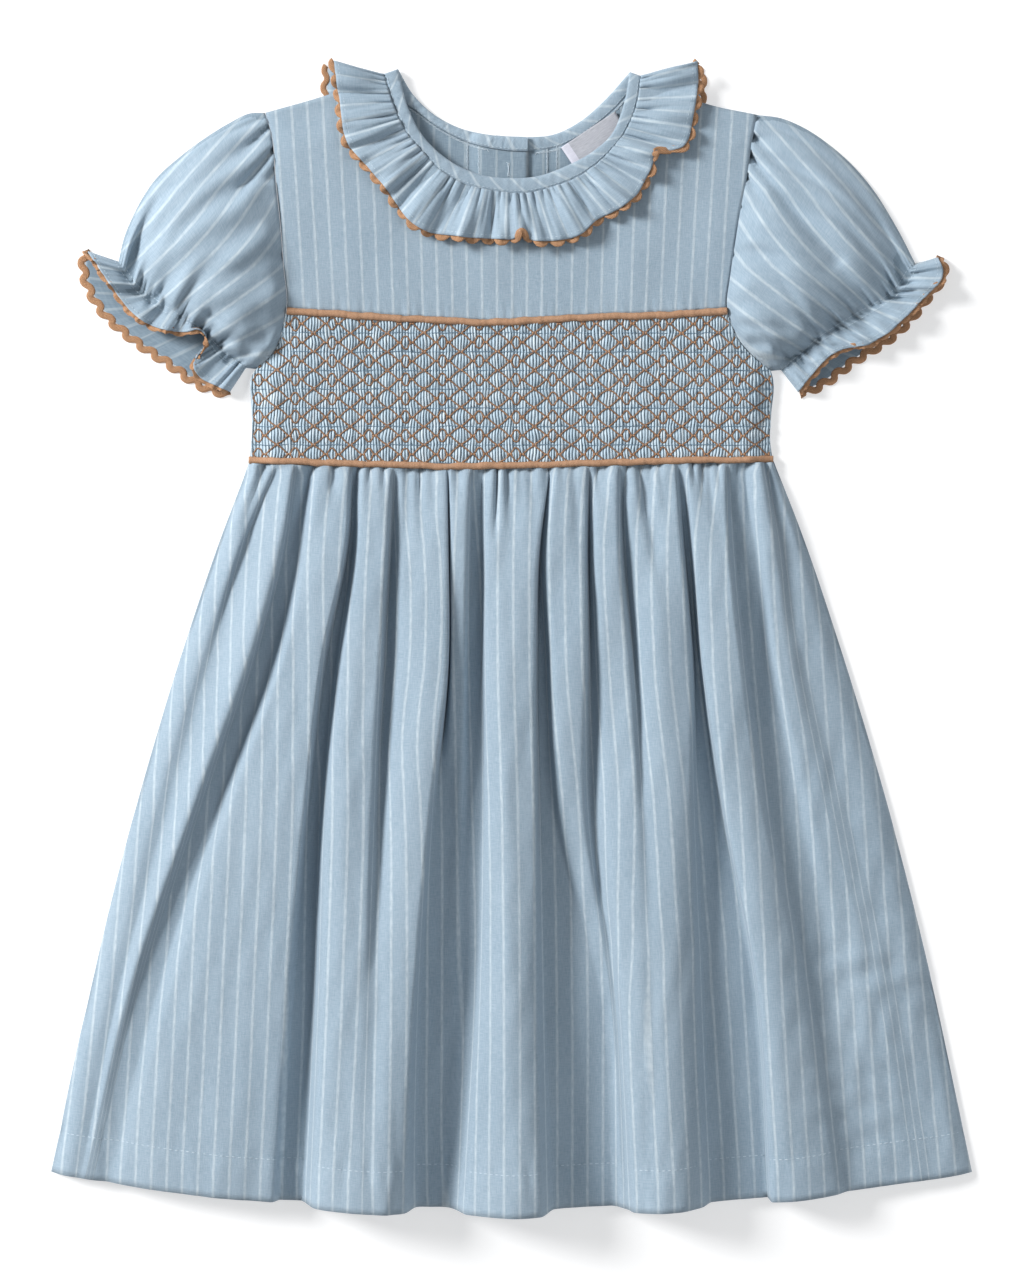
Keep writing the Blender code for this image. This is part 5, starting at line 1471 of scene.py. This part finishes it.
@dataclass
class NeckFrill:
    """The gathered frill round the neck, with ric-rac under its edge."""

    columns: int = 560
    rows: int = 26
    gathers: int = 42
    long_gathers: int = 15
    cut_length: float = 322.0
    depth: float = 22.0
    turned_back: tuple[tuple[float, float, float], ...] = ((5.5, 201.0, 3.2), (75.0, 243.5, 5.0))

    def front(self, wardrobe: Wardrobe) -> None:
        """Build the front frill and its ric-rac."""
        shares = np.linspace(0, 1, self.columns)
        seam = sideways(along(NECK_SEAM, shares), -SEAM * 0.3)
        edge = along(FRILL_EDGE, shares)
        edge_run = run_length(edge)
        depth = np.linspace(0, 1, self.rows)
        flip = self.flips(edge)
        reach = depth[:, None] * (1 - 0.16 * flip)
        x = seam[:, 0] + (edge[:, 0] - seam[:, 0]) * reach
        y = seam[:, 1] + (edge[:, 1] - seam[:, 1]) * reach
        ground = front_lift(x, y) + SOLID_WALL
        column = np.linspace(0, 72, self.columns)
        wave = 1.5 + 1.3 * np.sin(column * 1.15) + 0.9 * np.sin(column * 2.6 + 1)
        puff = 4.2 * np.sin(math.pi * np.clip(depth[:, None] * 0.85, 0, 1))
        clear = 0.5 + 1.5 * depth[:, None]
        z = ground + clear + puff * (0.6 + 0.4 * np.sin(column * 0.9)) + wave * depth[:, None] ** 2
        below = depth * self.depth
        z = z + 0.9 * (1 - depth[:, None]) ** 2
        short = uneven_places(self.gathers, edge_run[-1], 51)
        z = z + creases(edge_run, below, short, 52, (0.7, 1.5), (4, 13), 2.9, 2.2)
        long = uneven_places(self.long_gathers, edge_run[-1], 53)
        z = z + creases(edge_run, below, long, 54, (1.0, 2.2), (13, 24), 3.4, 1.6)
        z = z + 0.22 * Rumple(55, 9.0, 30.0)(edge_run[None, :], below[:, None])
        z = z + 2.2 * flip * smooth((depth[:, None] - 0.45) / 0.5)
        z = np.maximum(z, ground + 0.35)
        z[-1] -= 0.15
        u = np.broadcast_to(edge_run * (self.cut_length / edge_run[-1]) * 0.9 + 1.0, x.shape)
        v = np.broadcast_to(below[:, None], x.shape)
        made = grid_object("frill_neck_front", x, y, z, u, v, wardrobe.chambray)
        walled(made)
        placed(made, "cloth", "neck_frill_front")
        line = np.stack([x[-3], y[-3], z[-3] + CLOTH_WALL + 0.04], axis=-1)[3:-3]
        laid = wardrobe.stitches.lay("stitches_frill_edge", [line], wardrobe.sewing_thread, *FRILL_STITCHING)
        placed(laid, "cloth")
        rim = np.stack([x[-1], y[-1], z[-1]], axis=-1)
        before = np.stack([x[-6], y[-6], z[-6]], axis=-1)
        outward = (rim - before) * (1, 1, 0)
        upward = np.broadcast_to([0.0, 0.0, 1.0], rim.shape)
        rim = rim - (0, 0, 0.45)
        rim[:, 2] += 1.6 * flip
        made = RicRac().ribbon("ricrac_neck_front_braid", rim, outward, upward, 0.15, wardrobe)
        placed(made, "tan_trim", "ricrac_neck_front")

    def flips(self, edge: np.ndarray) -> np.ndarray:
        """Where the frill's edge turns back on itself, from 0 to 1."""
        total = np.zeros(len(edge))
        for x, y, spread in self.turned_back:
            away = np.hypot(edge[:, 0] - x, edge[:, 1] - y)
            total = np.maximum(total, np.exp(-((away / spread) ** 2)))
        return total

    def back(self, side: Side, wardrobe: Wardrobe) -> None:
        """Build half of the frill behind, flat on the floor, with its ric-rac."""
        shares = np.linspace(0, 1, 170)
        if side is Side.LEFT:
            seam_run = [point for point in BACK_NECK_SEAM if point[0] < -9] + [(-10.0, 245.8)]
            edge_run = BACK_FRILL_EDGE_LEFT
        else:
            seam_run = [(10.0, 244.6)] + [point for point in BACK_NECK_SEAM if point[0] > 12]
            edge_run = BACK_FRILL_EDGE_RIGHT
        seam = sideways(along(seam_run, shares), -SEAM)
        edge = along(edge_run, shares)
        depth = np.linspace(0, 1, 12)[:, None]
        x = seam[:, 0] + (edge[:, 0] - seam[:, 0]) * depth
        y = seam[:, 1] + (edge[:, 1] - seam[:, 1]) * depth
        length = run_length(edge)
        z = 0.14 * (1 + np.sin(length / 2.2 + 2 * np.sin(length / 13))) * (1 - 0.5 * depth)
        u = np.broadcast_to(length * 1.25, x.shape)
        v = np.broadcast_to(depth * 22.0, x.shape)
        made = grid_object(f"frill_neck_back_{side.value}", x, y, z, u, v, wardrobe.chambray)
        walled(made, 0.6)
        placed(made, "cloth", f"neck_frill_back_{side.value}")
        rim = np.column_stack([edge, np.full(len(edge), 0.46)])
        outward = np.column_stack([edge - seam, np.zeros(len(edge))])
        upward = np.broadcast_to([0.0, 0.0, 1.0], rim.shape)
        name = f"ricrac_neck_back_{side.value}"
        made = RicRac(half_width=1.5, swing=0.9).ribbon(f"{name}_braid", rim, outward, upward, 1.4, wardrobe)
        placed(made, "tan_trim", name)


@dataclass
class NeckBinding:
    """The bias binding round the neck, rounded over its seam allowance."""

    thickness: float = 2.0
    steps: int = 200
    section: Points = ((0.0, 0.05), (0.0, 0.62), (0.05, 0.8), (0.2, 0.9), (0.5, 1.0), (0.8, 0.92),
                       (0.95, 0.72), (1.0, 0.4), (0.96, 0.08), (0.5, 0.0))

    def strip(self, name: str, node: str, seam_run: Points, edge_run: Points,
              bottom_of: Callable[[np.ndarray, np.ndarray], np.ndarray], wardrobe: Wardrobe) -> None:
        """Build one length of binding with its row of stitches.

        Args:
            name: the object's name.
            node: the solid that it stands for.
            seam_run: the run of its seam.
            edge_run: the run of its open edge.
            bottom_of: the height of its lower face.
            wardrobe: the finishes.
        """
        shares = np.linspace(0, 1, self.steps)
        seam = along(seam_run, shares)
        edge = along(edge_run, shares)
        middle = (seam + edge) / 2
        base = bottom_of(middle[:, 0], middle[:, 1])
        length = run_length(middle)
        puckers = 0.12 * Rumple(61, 5.0, 5.0)(length, 0 * length)
        ring = []
        for share, height in self.section:
            place = seam + (edge - seam) * share
            lift = base + height * self.thickness + puckers * (0.2 < share < 0.9)
            ring.append(np.column_stack([place, lift]))
        rings = np.stack(ring, axis=1)
        girth = run_length(rings[len(rings) // 2])
        girth = np.append(girth, girth[-1] + 3.5)
        u = (length[:, None] + girth[None, :]) * math.sqrt(0.5)
        v = (length[:, None] - girth[None, :]) * math.sqrt(0.5)
        made = tube(name, rings, u, v, wardrobe.chambray)
        placed(made, "cloth", node)
        line = np.column_stack([seam + (edge - seam) * 0.16, base + 0.9 * self.thickness + 0.1])[3:-3]
        laid = wardrobe.stitches.lay(f"stitches_{name}", [line], wardrobe.sewing_thread, *TOP_STITCHING)
        placed(laid, "cloth")

    def back_seam(self, start: float, end: float) -> np.ndarray:
        """The back neck seam between two places across."""
        x = np.linspace(start, end, 40)
        return np.stack([x, y_at(BACK_NECK_SEAM, x)], axis=-1)

    def build(self, wardrobe: Wardrobe) -> None:
        """Build the front binding and the two back halves that lap at the placket."""
        self.strip("binding_front", "neck_binding_front", NECK_SEAM, NECK_EDGE,
                   lambda x, y: front_lift(x, y) + 0.75, wardrobe)
        left = self.back_seam(BACK_NECK_SEAM[0][0], PLACKET_HALF)
        self.strip("binding_back_left", "neck_binding_back_left", left,
                   [point for point in BACK_NECK_EDGE if point[0] < 9],
                   lambda x, y: back_lift(x, y, True) - 0.1, wardrobe)
        right = self.back_seam(-PLACKET_HALF, BACK_NECK_SEAM[-1][0])
        self.strip("binding_back_right", "neck_binding_back_right", right,
                   [(-PLACKET_HALF, 252.3)] + [point for point in BACK_NECK_EDGE if point[0] > 0],
                   lambda x, y: back_lift(x, y, False) - 0.9, wardrobe)


@dataclass
class Piping:
    """A cord covered with tan bias cloth, let into a seam."""

    sides: int = 14
    past: float = 0.7
    cover: float = 0.4

    def build(self, name: str, node: str, run: Points, radius: float, lift: float,
              wardrobe: Wardrobe) -> None:
        """Sweep the piping along its seam.

        Args:
            name: the object's name.
            node: the solid that it stands for.
            run: the seam.
            radius: the piping's radius.
            lift: how far its middle is over the front's lower face.
            wardrobe: the finishes.
        """
        shares = np.linspace(0, 1, 420)
        place = along(run, shares)
        place[:, 0] += self.past * (2 * shares - 1) ** 15
        length = run_length(place)
        bumps = radius * (1 + 0.05 * Rumple(71, 4.0, 4.0)(length, 0 * length))
        drift = 0.18 * Rumple(72, 22.0, 22.0)(length, 0 * length)
        place[:, 1] += drift * np.minimum(1, np.minimum(length, length[-1] - length) / 15)
        z = front_lift(place[:, 0], place[:, 1]) + lift
        turn = np.linspace(0, 2 * math.pi, self.sides + 1)[:-1]
        side = sideways(place, 1.0) - place
        ring = []
        for angle in turn:
            ring.append(np.column_stack([place + side * (bumps * math.cos(angle))[:, None],
                                         z + bumps * math.sin(angle)]))
        rings = np.stack(ring, axis=1)
        u = np.broadcast_to(length[:, None], (len(place), self.sides + 1))
        made = tube(name, rings, u, u, wardrobe.piping)
        placed(made, "tan_trim", node)


@dataclass
class PuffSleeve:
    """A puff sleeve: pleated cap, elastic cuff line and a frill with ric-rac."""

    cut: Sleeve
    half: int = 96
    puff_steps: int = 64
    cuff_steps: int = 20
    elastic_gathers: int = 32
    cap_pleats: int = 3
    stripe_way: tuple[float, float] = (0.747, -0.665)
    stripe_bend: float = 12.5

    def build(self, wardrobe: Wardrobe) -> None:
        """Build the sleeve and its trims."""
        cut = self.cut
        left = cut.side is Side.LEFT
        side = cut.side.value
        spread = (1 - np.cos(np.pi * np.arange(self.half + 1) / self.half)) / 2
        outward = SLEEVE_SEAM if left else -SLEEVE_SEAM
        armhole = along(cut.armhole, spread) - (outward, 0)
        gather = along(cut.gather, spread)
        puff = np.linspace(0, 1, self.puff_steps)
        fold = along(cut.fold, puff) - (outward, 0)
        underarm = armhole[-1] + (gather[-1] - armhole[-1]) * puff[:, None]
        arch = np.sin(np.pi * spread) ** 0.8
        brink = np.sqrt(1 - (1 - np.clip(np.minimum(spread, 1 - spread) / 0.035, 0, 1)) ** 2)
        at_armhole = front_lift(armhole[:, 0], armhole[:, 1]) + SOLID_WALL
        at_gather = 4.0 + 4.0 * arch
        front_rows, back_rows = [], []
        for s, fold_end, under_end in zip(puff, fold, underarm):
            straight = armhole + (gather - armhole) * s
            flat = straight + (fold_end - straight[0]) * (1 - spread)[:, None]
            flat = flat + (under_end - straight[-1]) * spread[:, None]
            rise = float(hermite(PUFF_ROWS, PUFF_RISE, np.array(s)))
            z = at_armhole + (at_gather - at_armhole) * s + rise * arch
            front_rows.append(np.column_stack([flat, z]))
            back_rows.append(np.column_stack([flat, np.zeros(len(flat))]))
        cuff = np.linspace(0, 1, self.cuff_steps + 1)[1:]
        front_edge, back_edge = along(cut.front_edge, spread), along(cut.back_edge, spread)
        for t in cuff:
            z = at_gather + (11.0 - at_gather) * t * (0.45 + 0.55 * arch)
            front_rows.append(np.column_stack([gather + (front_edge - gather) * t, z]))
            back_rows.append(np.column_stack([gather + (back_edge - gather) * t, np.zeros(len(gather))]))
        front, back = np.array(front_rows), np.array(back_rows)
        middle = front[:, self.half // 2, :2]
        down = run_length(middle)
        to_elastic = down - down[self.puff_steps - 1]
        across = run_length(front[self.puff_steps // 2])
        front[..., 2] += self.relief(across, down, to_elastic, arch)
        for hollow in SLEEVE_HOLLOWS[cut.side]:
            front[..., 2] += hollow(front[..., 0], front[..., 1]) * smooth(arch * 3)
        front[..., 2] = np.maximum(front[..., 2], 1.6) * brink
        puckers = 0.5 * brink * np.abs(np.sin(across / 2.3))
        back[..., 2] += puckers * np.exp(-((to_elastic[:, None] / 5.0) ** 2))
        rings = np.concatenate([front, back[:, -2:0:-1]], axis=1)
        for end, beside in ((0, 1), (self.half, self.half - 1)):
            rings[:, end, 2] = rings[:, beside, 2] / 2
        u = self.stripe_map(front, puff)
        u = np.concatenate([u, (2 * u[:, -1:] - u[:, ::-1])[:, 1:]], axis=1)
        v = np.broadcast_to(down[:, None], u.shape)
        made = grid_object(f"sleeve_{side}_cloth", rings[..., 0], rings[..., 1], rings[..., 2], u, v,
                           wardrobe.chambray, closed=True, turned=not left)
        walled(made, CLOTH_WALL, -1.0)
        # painted shade on the back layer's inside, seen at the cuff opening
        paint_inside_shade(made, wardrobe, 3.2)
        placed(made, "cloth", f"sleeve_{side}")
        self.braid(rings, wardrobe)
        self.elastic(rings, wardrobe)

    def stripe_map(self, front: np.ndarray, puff: np.ndarray) -> np.ndarray:
        """Place across the stripes, which run from the cap to the cuff and bend by the armhole."""
        mirror = 1 if self.cut.side is Side.LEFT else -1
        steps = self.puff_steps
        x, y = front[:steps, :, 0] * mirror, front[:steps, :, 1]
        low = np.interp(y, (150.0, 186.0, 225.0), (1.0, 0.85, 0.0))
        u = x * self.stripe_way[0] + y * self.stripe_way[1]
        u = u - self.stripe_bend * low * (1 - puff[:, None]) ** 1.3
        past = np.linspace(0, 1, len(front) - steps)[:, None]
        on_frill = u[-1] + past * 1.5 * np.sin(np.arange(u.shape[1]) / 4.0)
        return np.concatenate([u, on_frill]) + 400.0

    def relief(self, across: np.ndarray, down: np.ndarray, to_elastic: np.ndarray,
               arch: np.ndarray) -> np.ndarray:
        """The pleats, gathers, frill waves and wrinkles of the sleeve's front.

        Args:
            across: place of each column round the sleeve.
            down: distance of each row from the armhole.
            to_elastic: distance of each row past the elastic.
            arch: how full the sleeve is at each column.

        Returns:
            The height to add at each row and column.
        """
        seed = 81 if self.cut.side is Side.LEFT else 91
        total = across[-1]
        full = smooth(arch * 2)[None, :]
        places = uneven_places(self.cap_pleats, total * 0.55, seed) + total * 0.04
        relief = creases(across, down, places, seed + 1, (1.0, 2.0), (8, 22), 2.2, 2.4)
        gathers = uneven_places(self.elastic_gathers, total, seed + 2)
        off_elastic = np.abs(to_elastic)
        relief = relief + creases(across, off_elastic, gathers, seed + 3, (0.6, 1.5), (4, 16), 4.6, 2.2)
        relief = relief - 1.2 * np.exp(-((to_elastic[:, None] / 2.2) ** 2))
        broad = Rumple(seed + 4, 22.0, 60.0)(across[None, :], down[:, None])
        past = np.clip(to_elastic[:, None] / 12.0, 0, 1)
        waves = np.sin(across[None, :] / total * 2 * math.pi * 6.5 + 1.3 * np.sin(across / 9.0)[None, :])
        relief = relief + 1.3 * broad * (1 - past) * smooth(down[:, None] / 12)
        fine = Rumple(seed + 5, 6.0, 40.0)(across[None, :], down[:, None])
        relief = relief + (2.4 * waves + 0.8 * fine) * past
        return relief * full

    def braid(self, rings: np.ndarray, wardrobe: Wardrobe) -> None:
        """Set the ric-rac round the frill's edge."""
        edge, before = rings[-1], rings[-5]
        ring_way = np.roll(edge, -1, axis=0) - np.roll(edge, 1, axis=0)
        past = (edge - before) * (1, 1, 0)
        past /= np.linalg.norm(past, axis=1, keepdims=True)
        past = evened_ring(past, 6)
        inward = np.cross(ring_way, past)
        inward /= np.linalg.norm(inward, axis=1, keepdims=True)
        if inward[self.half // 2, 2] > 0:
            inward = -inward
        inward = evened_ring(inward, 3)
        at_back = evened(np.arange(len(edge)) > self.half, 3, "wrap")
        under = edge + inward * (CLOTH_WALL / 2 + 1.1 * (1 - at_back))[:, None]
        under[:, 2] = np.maximum(under[:, 2], 0.55)
        name = f"ricrac_cuff_{self.cut.side.value}"
        reach, calm = 0.45 + 0.9 * at_back, 0.45 + 0.75 * at_back
        braid = RicRac(half_width=1.75, swing=1.2)
        made = braid.ribbon(f"{name}_braid", under, past, inward, reach, wardrobe, closed=True, calm=calm)
        placed(made, "tan_trim", name)

    def elastic(self, rings: np.ndarray, wardrobe: Wardrobe) -> None:
        """Two rows of stitches along the elastic, and one near the frill's edge."""
        lines = []
        for row in (self.puff_steps - 2, self.puff_steps + 2, len(rings) - 4):
            line = rings[row, 3 : self.half - 2].copy()
            line[:, 2] += 0.06
            lines.append(line)
        name = f"stitches_cuff_{self.cut.side.value}"
        placed(wardrobe.stitches.lay(name, lines, wardrobe.sewing_thread, *TOP_STITCHING), "cloth")


@dataclass
class NeckLabel:
    """The plain woven label inside the back neck."""

    thickness: float = 0.5
    pale_end: float = 4.2
    width: float = 32.5
    height: float = 11.3

    def build(self, wardrobe: Wardrobe) -> None:
        """Build the label, its free end curling a little."""
        corners = np.array(LABEL_CORNERS)
        s, t = np.linspace(0, 1, 24)[None, :, None], np.linspace(0, 1, 20)[:, None, None]
        top = corners[0] + (corners[1] - corners[0]) * s
        low = corners[3] + (corners[2] - corners[3]) * s
        place = top + (low - top) * t
        lift = FRILL_LIFT + SOLID_WALL + 0.35 + 0.25 * t[..., 0] ** 3 * (1 + np.sin(3 * s[..., 0]))
        u = np.broadcast_to(s[..., 0] * self.width, lift.shape)
        v = np.broadcast_to(t[..., 0] * self.height, lift.shape)
        made = grid_object("label_neck", place[..., 0], place[..., 1], lift, u, v, wardrobe.label)
        walled(made, self.thickness)
        made.data.materials.append(wardrobe.label_end)
        start = settled(np.array([[*corners[0], 0.0], [*corners[1], 0.0]]))
        way = (start[1] - start[0]) / np.linalg.norm(start[1] - start[0])
        for face in made.data.polygons:
            face.material_index = int((np.array(face.center) - start[0]) @ way < self.pale_end * MM)
        placed(made, "label", "neck_label")


def ring_at(x: float, y: float, radius: float, z: float, turn: np.ndarray) -> np.ndarray:
    """Points round a level circle, one for each angle of turn."""
    return np.column_stack([x + np.cos(turn) * radius, y + np.sin(turn) * radius, np.full(len(turn), z)])


@dataclass
class Buttons:
    """The back buttons, face down under the outer placket strip."""

    hole: float = 0.75
    hole_place: float = 1.5
    profile: Points = ((0.0, 0.45), (3.6, 0.45), (4.1, 0.12), (5.0, 0.0), (5.4, 0.3), (5.5, 1.0), (5.3, 1.7),
                       (4.6, 2.0), (0.0, 2.0))
    places: tuple[tuple[str, float], ...] = (("top", 235.0), ("middle", 176.0), ("bottom", 117.0))

    def build(self, wardrobe: Wardrobe) -> None:
        """Turn each button with a raised rim and four holes."""
        for label, y in self.places:
            turn = np.linspace(0, 2 * math.pi, 49)[:-1]
            rings = np.stack([ring_at(0.0, y, max(radius, 0.02), z, turn) for radius, z in self.profile])
            flat = np.zeros((len(rings), len(turn) + 1))
            made = tube(f"button_{label}_turned", rings, flat, flat, wardrobe.button)
            self.pierce(made, y)
            placed(made, "button", f"button_{label}")

    def pierce(self, made: bpy.types.Object, y: float) -> None:
        """Cut the four thread holes of a button.

        Args:
            made: the button.
            y: its place up the garment.
        """
        turn = np.linspace(0, 2 * math.pi, 13)[:-1]
        for way_x in (-1, 1):
            for way_y in (-1, 1):
                middle = (way_x * self.hole_place, y + way_y * self.hole_place)
                rings = np.stack([ring_at(*middle, self.hole, z, turn) for z in (-1.0, 4.0)])
                flat = np.zeros((2, len(turn) + 1))
                cutter = tube("hole", rings, flat, flat, made.data.materials[0])
                cut = made.modifiers.new("Hole", "BOOLEAN")
                cut.operation, cut.solver, cut.object = "DIFFERENCE", "EXACT", cutter
                baked(made)
                bpy.data.objects.remove(cutter)


Lamp = namedtuple("Lamp", "name place size power")


@dataclass
class Studio:
    """The pale floor, the soft light and the camera over the dress, in metres."""

    height: float = 1.3
    sensor: float = 36.0
    lens: float = 73.125
    floor_half: float = 3.0
    lamps: tuple[Lamp, ...] = (Lamp("key", (-3.0, 1.5, 1.95), 1.2, 215.0),
                               Lamp("fill", (2.4, -0.6, 3.0), 2.0, 30.0))
    sky: Colour = (0.93, 0.96, 1.0)
    sky_strength: float = 0.34

    def build(self) -> None:
        """Set the floor, lights and camera."""
        self.floor()
        for lamp in self.lamps:
            self.light(lamp)
        world = bpy.context.scene.world or bpy.data.worlds.new("world")
        bpy.context.scene.world = world
        world.use_nodes = True
        background = world.node_tree.nodes["Background"]
        background.inputs["Color"].default_value = (*self.sky, 1)
        background.inputs["Strength"].default_value = self.sky_strength
        bpy.context.scene.view_settings.view_transform = "Standard"
        data = bpy.data.cameras.new("camera")
        data.lens, data.sensor_width = self.lens, self.sensor
        camera = bpy.data.objects.new("camera", data)
        camera.location = (-ORIGIN[0] * MM, -ORIGIN[1] * MM, self.height)
        bpy.context.scene.collection.objects.link(camera)
        bpy.context.scene.camera = camera

    def floor(self) -> None:
        """A wide pale floor."""
        sheet = NodeSheet("floor", 0.95)
        place = sheet.node("ShaderNodeTexCoord").outputs["Object"]
        broad = sheet.noise(place, (3.0, 3.0, 3.0))
        sheet.finish(sheet.mix(broad, (0.6, 0.6, 0.6), (0.62, 0.62, 0.62)), broad, 0.00001)
        sheet.shader.inputs["Emission Color"].default_value = (1.0, 1.0, 1.0, 1)
        sheet.shader.inputs["Emission Strength"].default_value = 0.45
        mesh = bpy.data.meshes.new("floor")
        half = self.floor_half
        corners = [(-half, -half, 0), (half, -half, 0), (half, half, 0), (-half, half, 0)]
        mesh.from_pydata(corners, [], [(0, 1, 2, 3)])
        mesh.materials.append(sheet.material)
        floor = bpy.data.objects.new("floor", mesh)
        floor.location.z = -0.0001
        bpy.context.scene.collection.objects.link(floor)

    def light(self, lamp: Lamp) -> None:
        """Set a square soft light aimed at the dress."""
        data = bpy.data.lights.new(lamp.name, "AREA")
        data.size, data.energy = lamp.size, lamp.power
        made = bpy.data.objects.new(lamp.name, data)
        made.location = lamp.place
        way = -np.array(lamp.place)
        tilt = math.acos(-way[2] / np.linalg.norm(way))
        made.rotation_euler = (tilt, 0, math.atan2(way[1], way[0]) - math.pi / 2)
        bpy.context.scene.collection.objects.link(made)


def main() -> None:
    """Build the dress, piece by piece."""
    logging.basicConfig(level=logging.INFO, format="%(message)s")
    wardrobe = make_wardrobe()
    skirt = Skirt()
    skirt.front(wardrobe)
    skirt.back(wardrobe)
    SmockedBand().build(wardrobe)
    bodice = Bodice()
    bodice.yoke(wardrobe)
    for side in Side:
        bodice.back(side, wardrobe)
    frill = NeckFrill()
    frill.front(wardrobe)
    for side in Side:
        frill.back(side, wardrobe)
    NeckBinding().build(wardrobe)
    covered = Piping.cover
    Piping().build("piping_over_band", "piping_top", PIPING_TOP, PIPING_TOP_RADIUS + covered, 1.7, wardrobe)
    Piping().build("piping_under_band", "piping_bottom", PIPING_BOTTOM, PIPING_BOTTOM_RADIUS + covered, 1.6,
                   wardrobe)
    for cut in SLEEVES:
        PuffSleeve(cut).build(wardrobe)
    NeckLabel().build(wardrobe)
    Buttons().build(wardrobe)
    Studio().build()


if __name__ == "__main__":
    main()
